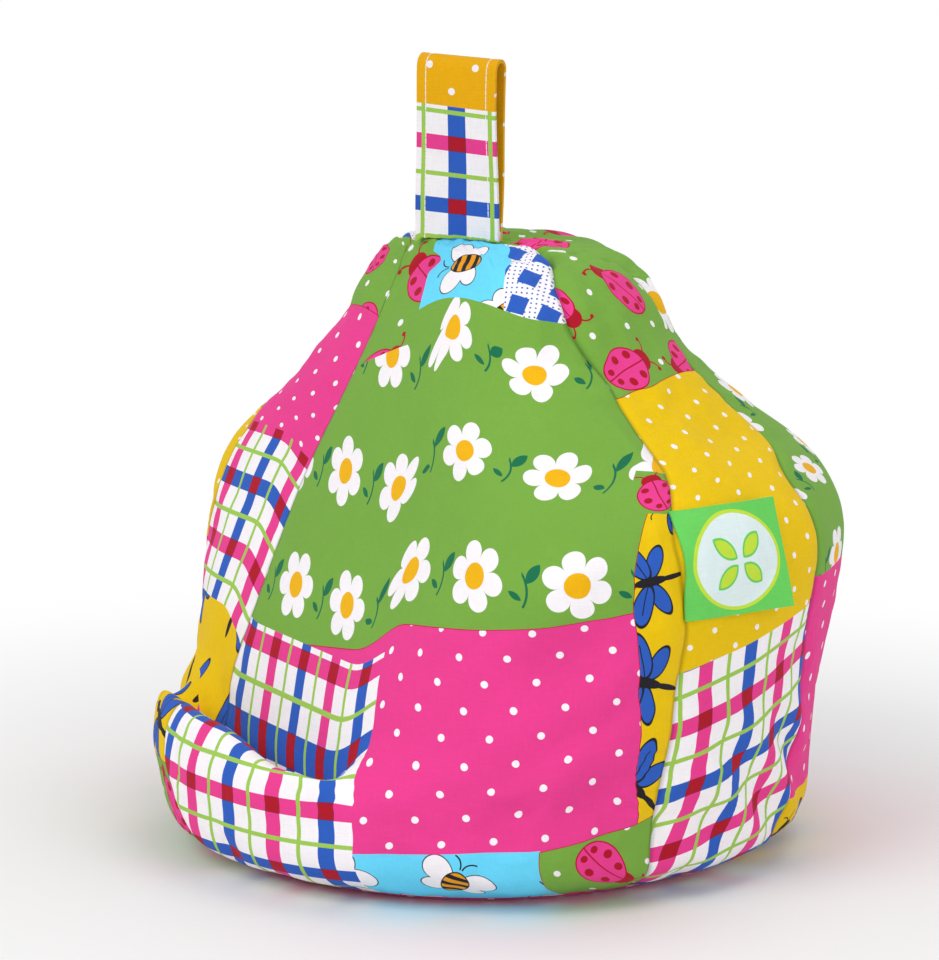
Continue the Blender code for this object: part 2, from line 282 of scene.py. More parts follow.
def seam_turns(radius, arc):
    """The turns of the left front, right front and back seams, on a ring and a way up."""
    crown_turn = atan2(CROWN_SEAM_HALF, CROWN_SEAM_FORWARD)
    share = smoothstep(CROWN_RADIUS, SEAM_GATHER_RADIUS, radius)
    paths = (LEFT_SEAM_PATH, RIGHT_SEAM_PATH, BACK_SEAM_PATH)
    turns = [radians(along_path(path, arc)) for path in paths]
    return [crown_turn + (turn - crown_turn) * share for turn in turns]


def seam_relief(away, along):
    """The dip, the stitched line and the puckers beside a seam, by the way to and along it."""
    dip = SEAM_DEPTH * exp(-(away / SEAM_WIDTH)**2) + STITCH_DEPTH * exp(-(away / STITCH_WIDTH)**2)
    side = OTHER_SIDE if away > 0.0 else 0.0
    wander = noise.noise(Vector((along / PUCKER_WANDER, side, 0.5))) * 3.0
    pucker = sin(2.0 * pi * along / PUCKER_SPACING + wander + side)
    pucker *= 0.4 + noise.noise(Vector((along / PUCKER_PATCH, side, 4.5)))
    beside = (abs(away) / PUCKER_REACH) * exp(1.0 - abs(away) / PUCKER_REACH * 2.0)
    return -dip + PUCKER_DEPTH * pucker * 2.0 * beside


def drag_folds(turn, radius, arc):
    """Long soft folds: from the groove's end up the front, and down from the crown all round."""
    side = atan2(sin(turn), cos(turn))
    x = side * radius
    across = arc * cos(DRAG_SLANT) - x * sin(DRAG_SLANT)
    along = arc * sin(DRAG_SLANT) + x * cos(DRAG_SLANT)
    low = noise.noise(Vector((across / DRAG_SIZE, along / DRAG_LENGTH, 7.3)))
    low *= between(DRAG_TURNS, side) * between(DRAG_WAYS, arc)
    round_here = Vector((sin(turn), cos(turn))) * (HANG_RADIUS / HANG_SIZE)
    high = noise.noise(Vector((round_here.x, round_here.y, arc / HANG_LENGTH + 3.0)))
    return DRAG_DEPTH * low + HANG_DEPTH * high * between(HANG_WAYS, arc)


def relief(turn, radius, height, arc):
    """How far the cloth stands in or out of the smooth bag, at a turn from the front."""
    sideways = abs(atan2(sin(turn), cos(turn)))
    depth = 0.0
    nearest = radius
    if radius > CROWN_RADIUS:
        left, right, back = seam_turns(radius, arc)
        pull = 1.0 + CROWN_PULL * smoothstep(CROWN_PULL_START, CROWN_PULL_END, arc)
        for seam in (right if sin(turn) > 0.0 else left, back):
            away = (sideways - seam) * radius
            nearest = min(nearest, abs(away))
            depth += seam_relief(away, arc + seam) * pull
    elif height > HEAD_HEIGHT:
        depth += seam_relief(radius * cos(turn) - CROWN_SEAM_FORWARD, radius * sin(turn))
    if height > HEAD_HEIGHT:
        ring = exp(-((radius - CROWN_RADIUS) / (CROWN_RADIUS / 2.0))**2)
        depth += GATHER_DEPTH * ring * sin(GATHER_COUNT * turn)
    slack = between(FOLD_TURNS, sideways)
    slack *= between((BASE_SEAM_HEIGHT, FOOT_HEIGHT, FOLD_TOP / 2.0, FOLD_TOP), height)
    along = sideways * radius + FOLD_SLANT * height
    depth += FOLD_DEPTH * slack * sin(2.0 * pi * along / FOLD_SPACING)
    depth -= SEAM_DEPTH / 2.0 * exp(-((height - BASE_SEAM_HEIGHT) / BASE_SEAM_WIDTH)**2)
    place = Vector((radius * sin(turn), -radius * cos(turn), height))
    loose = smoothstep(0.0, FOOT_HEIGHT, height)
    depth += DENT_DEPTH * loose * noise.noise(place / DENT_SIZE)
    ridge = 1.0 - 2.0 * abs(noise.noise(place / CREASE_SIZE + Vector((9.0, 2.0, 5.0))))
    patchy = max(0.0, noise.noise(place / CREASE_PATCH + Vector((1.0, 8.0, 3.0))))
    depth += CREASE_DEPTH * loose * ridge**3 * patchy * 2.0
    depth -= SWELL_ROOM * loose * (1.0 - exp(-(nearest / SWELL_ROOM_REACH)**2))
    return depth + drag_folds(turn, radius, arc)


def bag_point(turn, height, radius, arc):
    """A point of the bag's surface, from its turn, height and radius on the turned outline."""
    depth = relief(turn, radius, height, arc) if height > 0.0 else 0.0
    flatness = smoothstep(HEAD_HEIGHT, TEMPLE_HEIGHT, height)
    standing = radius + depth * (1.0 - flatness)
    bed = turn - BED_TURN
    crown = max(0.0, 1.0 - (radius / SEAM_GATHER_RADIUS)**2)**2 if height > HEAD_HEIGHT else 0.0
    forward = -standing * cos(bed) - CROWN_LEAN * crown
    x, y, z = press_bed(standing * sin(bed), forward, height + depth * flatness)
    c, s = cos(BED_TURN), sin(BED_TURN)
    return Vector((x * c - y * s, x * s + y * c, z))


print("a seam dips", round((SEAM_DEPTH + STITCH_DEPTH) * 1000, 1), "mm into the cloth")

# %% [markdown]
# ## Rings and columns
#
# The cover's mesh is a grid of rings and columns. The rings lie closest together over the
# groove and on the crown. The columns land exactly on the four seams and crowd towards them,
# so that each sewn panel has its own faces, and a seam is as crisp as a sewn one.

# %% The rings and the columns of the cover
RING_STEP = 0.0034
GROOVE_RING_STEP = 0.0013
CROWN_RING_STEP = 0.0024
POLE_RADIUS = 0.0020
BASE_RINGS = (0.004, 0.024, 0.046, 0.070, 0.084)
FRONT_COLUMNS, SIDE_COLUMNS, BACK_COLUMNS = 64, 20, 88
COLUMNS = FRONT_COLUMNS + 2 * SIDE_COLUMNS + BACK_COLUMNS
CROWDING = 0.62
SIDE_HALF_LEAST = radians(4.0)


def ring_step(height):
    if ROLL_FOOT_HEIGHT < height < GROOVE_END_HEIGHT:
        return GROOVE_RING_STEP
    return CROWN_RING_STEP if height > HEAD_HEIGHT else RING_STEP


def outline_rings():
    """The outline's points that the cover is spun from, each with its way up the cloth."""
    rings = [(0.0, radius, radius - FLOOR_RADIUS) for radius in BASE_RINGS]
    arc = 0.0
    rings.append((*OUTLINE[0], arc))
    for before, (height, radius) in zip(OUTLINE, OUTLINE[1:]):
        arc += hypot(height - before[0], radius - before[1])
        last = rings[-1]
        if arc - last[2] >= ring_step(height) and radius > POLE_RADIUS:
            rings.append((height, radius, arc))
    return rings


def column_turns(radius, arc):
    """The turn of each column on a ring and a way up, from the left front seam on."""
    left, right, back = seam_turns(radius, arc)
    left_middle, right_middle = (left + back) / 2.0, (right + back) / 2.0
    left_half = max((back - left) / 2.0, SIDE_HALF_LEAST)
    right_half = max((back - right) / 2.0, SIDE_HALF_LEAST)
    left = left_middle - left_half
    edges = (-left, right_middle - right_half, right_middle + right_half,
             2.0 * pi - left_middle - left_half, 2.0 * pi - left)
    turns = []
    counts = (FRONT_COLUMNS, SIDE_COLUMNS, BACK_COLUMNS, SIDE_COLUMNS)
    for start, end, count in zip(edges, edges[1:], counts):
        for i in range(count):
            t = i / count - CROWDING * sin(2.0 * pi * i / count) / (2.0 * pi)
            turns.append(start + (end - start) * t)
    return turns


RINGS = outline_rings()
FIRST_COLUMNS = (0, FRONT_COLUMNS, FRONT_COLUMNS + SIDE_COLUMNS, COLUMNS - SIDE_COLUMNS)
print(len(RINGS), "rings and", COLUMNS, "columns; the cloth is", round(RINGS[-1][2], 4), "m tall")

# %% [markdown]
# ## The cover
#
# A line through the rings is spun once round into a closed body. Each vertex then moves to its
# column's turn and on to its place on the bag. Each face belongs to one panel, whose print is
# laid out flat on the cloth: across, from the panel's middle, and up, from the table. Higher up
# the panel narrows, and its print bends as flat cloth does on a cone. The leaning face has a
# second layout, measured on the pressed cloth itself, so that its large flowers stay round. An
# attribute marks the columns that are sewn.

# %% Spin the cover and lay out its print
PANELS = ["front_panel", "right_panel", "back_panel", "left_panel", "base_panel"]
PANEL_MIDDLES = [0.0, radians(75.0), pi, radians(285.0), 0.0]
BEND_START, BEND_END, BEND = 0.120, 0.240, 0.65
GROOVE_SLACK_TOP = ROLL_FOOT_HEIGHT + FLOOR_SHARE * (GROOVE_END_HEIGHT - ROLL_FOOT_HEIGHT)
SLACK_LEAST, SLACK_FULL = 0.0045, 0.0090
STEADY_RINGS = 9


def print_place(turn, across, arc, radius, panel):
    """Where a point of the cover lies on its panel's print, in metres across and up."""
    if PANELS[panel] == "base_panel":
        reach = radius if arc <= 0.0 else FLOOR_RADIUS + arc
        return reach * sin(turn), -reach * cos(turn)
    off = turn - PANEL_MIDDLES[panel]
    bend = off**2 / (1.0 + off**2 / 4.0) / 2.0 * BEND * smoothstep(BEND_START, BEND_END, arc)
    return across, arc + bend * radius


def ways_across(turns, points, radius):
    """The way round a ring from each panel's middle, measured on the bag itself.

    The front panel is measured from its right seam, because the bed takes a bite out of its left.
    """
    steps = [(after - here).length for here, after in zip(points, points[1:] + points[:1])]
    ways = []
    start = 0
    for panel, count in enumerate((FRONT_COLUMNS, SIDE_COLUMNS, BACK_COLUMNS, SIDE_COLUMNS)):
        row = [0.0]
        for step in steps[start:start + count]:
            row.append(row[-1] + step)
        zero = row[count // 2]
        if PANELS[panel] == "front_panel":
            zero = row[-1] - turns[FRONT_COLUMNS] * radius
        ways.append([way - zero for way in row])
        start += count
    return ways


def make_cover():
    cover = bmesh.new()
    line = [cover.verts.new((0.0, -radius, height)) for height, radius, arc in RINGS]
    edges = [cover.edges.new(pair) for pair in zip(line, line[1:])]
    bmesh.ops.spin(cover, geom=line + edges, axis=(0, 0, 1), cent=(0, 0, 0), angle=2.0 * pi,
                   steps=COLUMNS, use_merge=True)
    bmesh.ops.remove_doubles(cover, verts=cover.verts, dist=1e-6)
    open_edges = [edge for edge in cover.edges if edge.is_boundary]
    bmesh.ops.holes_fill(cover, edges=open_edges, sides=0)
    caps = [face for face in cover.faces if len(face.verts) > 4]
    bmesh.ops.poke(cover, faces=caps)
    bmesh.ops.recalc_face_normals(cover, faces=cover.faces)
    return cover


def find_places(cover):
    """The column, and the ring's height, radius and way up, of every vertex of the spun body."""
    ring_of = {round(height * 1e6) if height > 0.0 else -round(radius * 1e6): (height, radius, arc)
               for height, radius, arc in RINGS}
    places = {}
    for vert in cover.verts:
        spun = hypot(vert.co.x, vert.co.y)
        if spun < 1e-6:
            top = vert.co.z > FOOT_HEIGHT
            places[vert] = (None, CROWN_HEIGHT if top else 0.0, 0.0,
                            RINGS[-1][2] + POLE_RADIUS if top else -FLOOR_RADIUS)
            continue
        key = round(vert.co.z * 1e6) if vert.co.z > 1e-7 else -round(spun * 1e6)
        round_here = (atan2(vert.co.x, -vert.co.y) % (2.0 * pi)) / (2.0 * pi)
        column = round(round_here * COLUMNS) % COLUMNS
        places[vert] = (column, *ring_of[key])
    return places


def groove_slack(points_by_ring):
    """How much longer than the outline the cloth is, on its way over the roll, at each point."""
    slack = [[0.0] * COLUMNS]
    for (before, here), (low, high) in zip(zip(RINGS, RINGS[1:]),
                                           zip(points_by_ring, points_by_ring[1:])):
        if ROLL_FOOT_HEIGHT < here[0] < GROOVE_SLACK_TOP:
            flat = here[2] - before[2]
            row = [last + max((b - a).length - flat, 0.0)
                   for last, a, b in zip(slack[-1], low, high)]
        else:
            row = slack[-1] if here[0] <= ROLL_FOOT_HEIGHT else [0.0] * COLUMNS
        slack.append(row)
    most = [max(row[column] for row in slack) for column in range(COLUMNS)]
    shares = [smoothstep(SLACK_LEAST, SLACK_FULL, value) for value in most]
    return [[value * share for value, share in zip(row, shares)] for row in slack]


def ways_up(points_by_ring):
    """The way up each column, measured on the bag itself from the groove's floor on."""
    rows = []
    for ring, points in zip(RINGS, points_by_ring):
        if ring[0] < GROOVE_SLACK_TOP:
            rows.append([ring[2]] * COLUMNS)
        else:
            rows.append([last + (b - a).length for last, a, b in zip(rows[-1], below, points)])
        below = points
    return rows


def steady_ways(ways_at):
    """The front panel's ways across, each averaged with those of the rings near it."""
    rows = [ways[0] for ways in ways_at]
    first = next(i for i, ring in enumerate(RINGS) if ring[0] >= GROOVE_SLACK_TOP)
    steady = list(rows)
    for i in range(first, len(rows)):
        near = rows[max(first, i - STEADY_RINGS):i + STEADY_RINGS + 1]
        steady[i] = [sum(values) / len(near) for values in zip(*near)]
    return steady


def lay_out(cover):
    """Give each face its panel and its print's place, then move the vertices onto the bag."""
    print_map = cover.loops.layers.uv.new("print")
    leaning_map = cover.loops.layers.uv.new("leaning")
    places = find_places(cover)
    turns_at = [column_turns(radius, arc) for height, radius, arc in RINGS]
    points_at = [[bag_point(turn, *ring) for turn in turns]
                 for turns, ring in zip(turns_at, RINGS)]
    ways_at = [ways_across(turns, points, ring[1])
               for turns, points, ring in zip(turns_at, points_at, RINGS)]
    slack_at = groove_slack(points_at)
    heights_at = ways_up(points_at)
    steady_at = steady_ways(ways_at)
    ring_number = {ring: i for i, ring in enumerate(RINGS)}
    for face in cover.faces:
        columns = [places[vert][0] for vert in face.verts if places[vert][0] is not None]
        wraps = max(columns) - min(columns) > COLUMNS // 2
        low_column = max(columns) if wraps else min(columns)
        panel = sum(low_column >= first for first in FIRST_COLUMNS) - 1
        heights = [places[vert][1] for vert in face.verts]
        top = max(heights)
        if sum(heights) / len(heights) < BASE_SEAM_HEIGHT:
            panel = PANELS.index("base_panel")
        face.material_index = panel
        face.smooth = True
        for loop in face.loops:
            column, height, radius, arc = places[loop.vert]
            if column is None:
                spot = print_place(PANEL_MIDDLES[panel], 0.0, arc, 0.0, panel)
                loop[print_map].uv = spot
                loop[leaning_map].uv = spot
                continue
            ring = ring_number[height, radius, arc]
            turn = turns_at[ring][column] + (2.0 * pi if wraps and column == 0 else 0.0)
            across = 0.0
            if PANELS[panel] != "base_panel":
                last = column == 0 and wraps
                across = ways_at[ring][panel][(COLUMNS if last else column) - FIRST_COLUMNS[panel]]
                arc += slack_at[ring][column] if top < GROOVE_SLACK_TOP else 0.0
            loop[print_map].uv = print_place(turn, across, arc, radius, panel)
            if PANELS[panel] == "front_panel":
                across = steady_at[ring][column]
            loop[leaning_map].uv = (across, heights_at[ring][column])
    for vert, (column, height, radius, arc) in places.items():
        if column is None:
            vert.co = bag_point(0.0, height, radius, arc)
        else:
            vert.co = points_at[ring_number[height, radius, arc]][column]
    return {vert.index: place[::3] for vert, place in places.items()}


cover_mesh = make_cover()
cover_mesh.verts.index_update()
cover_place = lay_out(cover_mesh)
cover = add_mesh("cover", cover_mesh)
# The sewn columns, which the prints darken as a painted shade line along the seams.
sewn = cover.data.attributes.new("sewn", "FLOAT", "POINT")
for index, (column, arc) in cover_place.items():
    sewn.data[index].value = 1.0 if column in FIRST_COLUMNS and arc > 0.0 else 0.0
print("the cover has", len(cover.data.polygons), "faces")

# %% [markdown]
# ## The filling pushes the cloth out
#
# Beads press on a cover from inside, and the cloth answers with small swellings between the
# seams that hold it. A short cloth simulation with pressure gives them. The base, the crown and
# the seams are pinned, because the table and the thread hold them, and the cloth close beside a
# seam is half held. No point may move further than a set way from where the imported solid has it.

# %% Let the filling push the cover out
SWELL_CAP = 0.0024
SWELL_FRAMES = 20
SWELL_SETTINGS = {"quality": 5, "mass": 0.15, "tension_stiffness": 20.0,
                  "compression_stiffness": 20.0, "shear_stiffness": 8.0, "bending_stiffness": 0.2,
                  "use_pressure": True, "uniform_pressure_force": 4.0, "shrink_min": -0.015,
                  "vertex_group_mass": "held"}
HELD_BELOW, HELD_ABOVE = 0.008, 0.300
SEAM_PIN_REACH, SEAM_SIDE_PIN = 2, 0.35


def pin_weight(column, arc):
    """How firmly a vertex is held: 1 on a seam, the base and the crown, less beside a seam."""
    if column is None or arc < HELD_BELOW or arc > HELD_ABOVE:
        return 1.0
    away = min(abs(column - seam) for seam in (*FIRST_COLUMNS, COLUMNS))
    return 1.0 if away == 0 else SEAM_SIDE_PIN if away <= SEAM_PIN_REACH else 0.0


def swell(piece, place):
    """Run the cloth simulation and keep its capped moves. Say how far it went before the cap."""
    pins = piece.vertex_groups.new(name="held")
    for index, (column, arc) in place.items():
        weight = pin_weight(column, arc)
        if weight > 0.0:
            pins.add([index], weight, "REPLACE")
    before = [vert.co.copy() for vert in piece.data.vertices]
    cloth = piece.modifiers.new("swell", "CLOTH")
    for name, value in SWELL_SETTINGS.items():
        setattr(cloth.settings, name, value)
    cloth.settings.effector_weights.gravity = 0.0
    cloth.collision_settings.use_collision = False
    cloth.point_cache.frame_start = 1
    cloth.point_cache.frame_end = SWELL_FRAMES
    for step in range(1, SWELL_FRAMES + 1):
        bpy.context.scene.frame_set(step)
    swollen = piece.evaluated_get(bpy.context.evaluated_depsgraph_get()).to_mesh()
    moves = [after.co - start for after, start in zip(swollen.vertices, before)]
    piece.modifiers.remove(cloth)
    piece.vertex_groups.remove(pins)
    bpy.context.scene.frame_set(1)
    furthest = 0.0
    for vert, start, move in zip(piece.data.vertices, before, moves):
        way = move.length
        furthest = max(furthest, way)
        if way > 1e-9:
            move = move / way * SWELL_CAP * (1.0 - exp(-way / SWELL_CAP))
        vert.co = start + move
        if vert.co.z < 0.0 or start.z < 1e-6:
            vert.co.z = max(start.z, 0.0)
    return furthest


furthest_move = swell(cover, cover_place)
print("before its cap, the cloth moved up to", round(furthest_move * 1000, 2), "mm")

subdivision = cover.modifiers.new("subdivision", "SUBSURF")
subdivision.levels = 1
subdivision.render_levels = 1
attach(cover, "root")
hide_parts("bean_bag")
bpy.context.view_layer.update()
cover_tree = BVHTree.FromObject(cover, bpy.context.evaluated_depsgraph_get())
print("the cover rides on the body, and stands for the packed bag")

# %% [markdown]
# ## Colours as expressions
#
# A print is a sum of simple shapes, and a shape is a distance: below zero is inside. To write
# such sums as plain expressions, one small class wraps a node's output, and Python's operators
# then add Math nodes. Every other node comes from one method. Distances are in millimetres.

# %% A thread: one value that varies over the cloth
SOFT_EDGE = 0.12


class Thread:
    """A value or colour that varies over the cloth, which Python's operators can work on."""

    def __init__(self, tree, output=None):
        self.tree = tree
        self.output = output

    def node(self, kind, settings=None, inputs=None, output=0):
        made = self.tree.nodes.new(kind)
        for name, value in (settings or {}).items():
            setattr(made, name, value)
        for key, value in (inputs or {}).items():
            if isinstance(value, Thread):
                self.tree.links.new(value.output, made.inputs[key])
            else:
                made.inputs[key].default_value = value
        return Thread(self.tree, made.outputs[output])

    def math(self, operation, *values, clamp=False):
        return self.node("ShaderNodeMath", {"operation": operation, "use_clamp": clamp},
                         dict(enumerate(values)))

    def __add__(self, other):
        return self.math("ADD", self, other)

    def __radd__(self, other):
        return self.math("ADD", other, self)

    def __sub__(self, other):
        return self.math("SUBTRACT", self, other)

    def __rsub__(self, other):
        return self.math("SUBTRACT", other, self)

    def __mul__(self, other):
        return self.math("MULTIPLY", self, other)

    def __rmul__(self, other):
        return self.math("MULTIPLY", other, self)

    def __truediv__(self, other):
        return self.math("DIVIDE", self, other)

    def __neg__(self):
        return self.math("MULTIPLY", self, -1.0)

    def __abs__(self):
        return self.math("ABSOLUTE", self)


def lowest(first, *others):
    for other in others:
        first = first.math("MINIMUM", first, other)
    return first


def highest(first, *others):
    for other in others:
        first = first.math("MAXIMUM", first, other)
    return first


def length(x, y):
    """How long the way (x, y) is."""
    flat = x.node("ShaderNodeCombineXYZ", None, {0: x, 1: y})
    return x.node("ShaderNodeVectorMath", {"operation": "LENGTH"}, {0: flat}, output=1)


def disc(x, y, across, up, radius):
    """The distance to a disc round (across, up)."""
    return length(x - across, y - up) - radius


def oval(x, y, across, up, wide, tall, turn=0.0):
    """Roughly the distance to an oval round (across, up), turned anticlockwise."""
    c, s = cos(turn), sin(turn)
    side = x.math("MULTIPLY_ADD", y, s / wide, -(across * c + up * s) / wide)
    side = x.math("MULTIPLY_ADD", x, c / wide, side)
    high = x.math("MULTIPLY_ADD", y, c / tall, (across * s - up * c) / tall)
    high = x.math("MULTIPLY_ADD", x, -s / tall, high)
    return (length(side, high) - 1.0) * min(wide, tall)


def leaf(x, y, across, up, long, plump, turn):
    """The distance to a pointed leaf: what two discs of the same size have in common."""
    c, s = cos(turn), sin(turn)
    offset = (long**2 - plump**2) / (4.0 * plump)
    radius = offset + plump / 2.0
    left = disc(x, y, across + offset * c, up + offset * s, radius)
    right = disc(x, y, across - offset * c, up - offset * s, radius)
    return highest(left, right)


def inked(distance, soft=SOFT_EDGE):
    """1 inside a shape and 0 outside it, with a narrow soft edge."""
    return distance.math("MULTIPLY_ADD", distance, -1.0 / soft, 0.5, clamp=True)


def ink(colour, tint, distance):
    """Print a tint over a colour, inside a shape. Either may be plain red, green and blue."""
    inputs = {0: inked(distance)}
    for key, value in ((6, colour), (7, tint)):
        inputs[key] = value if isinstance(value, Thread) else (*value, 1.0)
    return distance.node("ShaderNodeMix", {"data_type": "RGBA"}, inputs, output=2)


def repeat(x, y, across, up, turn=0.0, spin=0.0, drop=0.5):
    """Half-drop repeats: the place in a motif's own cell, each cell turned on from the last."""
    row = (y / up).math("ROUND", y / up)
    x = x - row * (across * drop)
    column = x.math("ROUND", x / across)
    x, y = x - column * across, y - row * up
    if not turn and not spin:
        return x, y
    if spin:
        angle = row * spin + column * (spin * 1.7) + turn
        c, s = angle.math("COSINE", angle), angle.math("SINE", angle)
    else:
        c, s = cos(turn), sin(turn)
    return x * c + y * s, y * c - x * s


print("a printed edge is", SOFT_EDGE, "mm soft")

# %% [markdown]
# ## The printed cloths
#
# The cover is one cotton, printed as a patchwork of bright cloths: spots, daisies, ladybirds,
# bees, dragonflies, a wide plaid and a small check. Each one is a function of the place on the
# cloth. Colours are given as they appear on a screen, and turned into the light that a shader
# works with.

# %% The dyes


def dye(red, green, blue):
    """A colour as a screen shows it, from 0 to 255, as the light that a shader uses."""
    return tuple((v / 255 / 12.92) if v <= 10 else ((v / 255 + 0.055) / 1.055)**2.4
                 for v in (red, green, blue))


GREEN = dye(120, 171, 66)
YELLOW = dye(237, 197, 0)
PINK = dye(236, 62, 146)
CRIMSON = dye(176, 14, 38)
BLUE = dye(44, 94, 192)
SKY = dye(106, 220, 255)
WHITE = dye(250, 246, 250)
LEAF = dye(22, 112, 76)
LIME = dye(160, 204, 84)
BLACK = dye(30, 28, 34)
ORANGE = dye(238, 160, 20)
HEART = dye(242, 182, 8)


def spots(x, y, ground, across=18.7, up=9.6, radius=1.38):
    """Plain spots in half-drop rows."""
    x = x.math("PINGPONG", x, across / 2.0)
    y = y.math("PINGPONG", y, up)
    near = lowest(length(x, y), length(across / 2.0 - x, up - y))
    return ink(ground, WHITE, near - radius)


def daisy_cloth(x, y):
    """Six-petalled daisies and leafy sprigs on green."""
    across, up = 40.0, 46.0
    sprig_x, sprig_y = repeat(x + across / 2.0, y, across, up)
    stem = abs(disc(sprig_x, sprig_y, -9.0, -3.0, 11.0)) - 0.45
    stem = highest(stem, -sprig_x, sprig_y - 4.5, -9.0 - sprig_y)
    colour = ink(GREEN, LEAF, stem)
    colour = ink(colour, LEAF, leaf(sprig_x, sprig_y, 4.2, 3.6, 9.0, 4.0, radians(-32.0)))
    colour = ink(colour, LEAF, leaf(sprig_x, sprig_y, -2.6, -5.0, 5.6, 2.4, radians(60.0)))
    x, y = repeat(x, y, across, up, turn=0.3, spin=0.55)
    angle = x.math("ARCTAN2", y, x)
    lobe = abs(x.math("COSINE", angle * 3.0))
    reach = x.math("POWER", lobe, 0.42) * 6.9 + 6.1
    colour = ink(colour, WHITE, (length(x, y) - reach) * 0.8)
    return ink(colour, HEART, disc(x, y, 0.0, 0.0, 4.8))


def ladybird_cloth(x, y):
    """Round ladybirds on green, with small white spots between them."""
    across, up = 36.0, 31.0
    colour = spots(x + 9.0, y + 15.5, GREEN, across / 2.0, up / 2.0, 1.3)
    x, y = repeat(x, y, across, up, turn=0.6, spin=1.9)
    side = abs(x)
    body = oval(side, y, 0.0, -2.0, 8.8, 10.6)
    colour = ink(colour, GREEN, length(x, y) - 13.8)
    curl = highest(abs(disc(side, y, 6.4, 9.5, 4.4)) - 0.35, side - 6.4, 9.5 - y)
    colour = ink(colour, CRIMSON, lowest(curl, disc(side, y, 6.6, 13.6, 0.9)))
    colour = ink(colour, CRIMSON, disc(side, y, 0.0, 8.0, 4.4))
    colour = ink(colour, CRIMSON, body)
    colour = ink(colour, PINK, body + 0.5)
    marks = lowest(disc(side, y, 4.4, 3.2, 1.6), disc(side, y, 5.2, -3.4, 1.7),
                   disc(side, y, 2.5, -8.6, 1.4), highest(side - 0.28, body))
    return ink(colour, CRIMSON, marks)


def bee_cloth(x, y, turn=-0.5):
    """Striped bees with round wings on sky blue."""
    x, y = repeat(x, y, 38.0, 26.0, turn, spin=1.3)
    side = abs(x)
    wings = lowest(oval(side, y, 6.4, 3.4, 5.6, 4.6, radians(35.0)),
                   oval(side, y, 5.6, -3.6, 4.6, 3.5, radians(-30.0)))
    colour = ink(SKY, BLACK, wings)
    colour = ink(colour, WHITE, wings + 0.32)
    feeler = highest(abs(disc(side, y, 4.0, 7.0, 3.6)) - 0.25, side - 4.0, 7.0 - y)
    colour = ink(colour, BLACK, feeler)
    body = oval(side, y, 0.0, -0.8, 4.2, 6.8)
    colour = ink(colour, BLACK, body)
    colour = ink(colour, ORANGE, body + 0.35)
    bands = abs((y + 1.0).math("PINGPONG", y + 1.0, 2.0)) - 0.95
    return ink(colour, BLACK, highest(bands, body, y - 4.6))


def dragonfly_cloth(x, y, turn=1.2, spin=2.1, drop=0.5):
    """Blue dragonflies on yellow."""
    x, y = repeat(x, y, 42.0, 40.0, turn, spin, drop)
    x, y = x / 1.2, y / 1.2
    side = abs(x)
    colour = YELLOW
    for wing in (oval(side, y, 6.8, -1.6, 6.6, 2.9, radians(-18.0)),
                 oval(side, y, 7.8, 4.4, 7.8, 3.3, radians(26.0))):
        colour = ink(ink(colour, BLACK, wing), BLUE, wing + 0.45)
    vein = highest(abs(y - side * 0.42 - 1.0) - 0.2, wing, side - 11.0)
    feeler = highest(abs(disc(side, y, 2.8, 9.2, 2.4)) - 0.2, side - 2.8, 9.2 - y)
    colour = ink(colour, BLACK, lowest(vein, feeler))
    body = lowest(oval(side, y, 0.0, 0.5, 1.7, 5.6), oval(side, y, 0.0, -7.2, 1.0, 5.0),
                  disc(side, y, 0.0, 7.4, 1.9))
    return ink(colour, BLACK, body)


def stripe(place, middle, width, pitch):
    """The distance to the nearest of many stripes, a pitch apart."""
    shifted = place - middle
    return shifted.math("PINGPONG", shifted, pitch / 2.0) - width / 2.0


def plaid_cloth(x, y, blue_x=0.0, blue_y=0.0, pitch_x=23.0, pitch_y=24.0, wide=6.6, flat=6.2):
    """A wide plaid: blue and pink bands in turn, dark where they cross, and thin lime lines."""
    line = 1.7
    upright_blue = stripe(x, blue_x, wide, pitch_x * 2.0)
    upright_pink = stripe(x, blue_x + pitch_x, wide, pitch_x * 2.0)
    level_blue = stripe(y, blue_y, flat, pitch_y * 2.0)
    level_pink = stripe(y, blue_y + pitch_y, flat, pitch_y * 2.0)
    colour = ink(WHITE, PINK, lowest(upright_pink, level_pink))
    colour = ink(colour, BLUE, lowest(upright_blue, level_blue))
    crossed = highest(lowest(upright_blue, upright_pink), lowest(level_blue, level_pink))
    colour = ink(colour, BLACK, highest(abs(crossed) - 0.18, crossed))
    colour = ink(colour, CRIMSON, crossed + 0.15)
    lines = lowest(stripe(x, blue_x + pitch_x / 2.0, line, pitch_x),
                   stripe(y, blue_y + pitch_y / 2.0, line, pitch_y))
    return ink(colour, LIME, lines)


def check_cloth(x, y, pitch=12.2, block=7.0):
    """A small check of blue blocks, with fine blue pin dots on the white between them."""
    fine_x = x.math("PINGPONG", x, 0.95)
    fine_y = y.math("PINGPONG", y, 0.95)
    dots = ink(WHITE, BLUE, length(fine_x, fine_y) - 0.36)
    turned_x, turned_y = x - y * 0.25, y + x * 0.25
    blocks = highest(stripe(turned_x, 0.0, block, pitch), stripe(turned_y, 3.0, block, pitch))
    return ink(dots, BLUE, blocks)


print("the prints are spots, daisies, ladybirds, bees, dragonflies, a plaid and a check")

# %% [markdown]
# ## Patches and cotton
#
# A patch is a region of a panel between straight edges, which may slant a little. Patches are
# printed one over the other. The cotton under the ink is a plain weave that takes light softly:
# a rough surface with a faint sheen, fine threads and small creases as bump, and a dye that is
# a touch uneven. A painted shade line darkens the colour along the seams, where their grooves
# hold shade. The small pieces on the crown are laid out as they look from over the front,
# because a panel's own layout shears close to the crown's seam.

# %% Patches and the cotton's surface
CAP_VIEW = (radians(15.0), radians(35.0))
SEAM_SHADE = 0.42
RIM = 0.3
THREAD_SPACING = 0.62
BUMP_HEIGHT = 0.0011


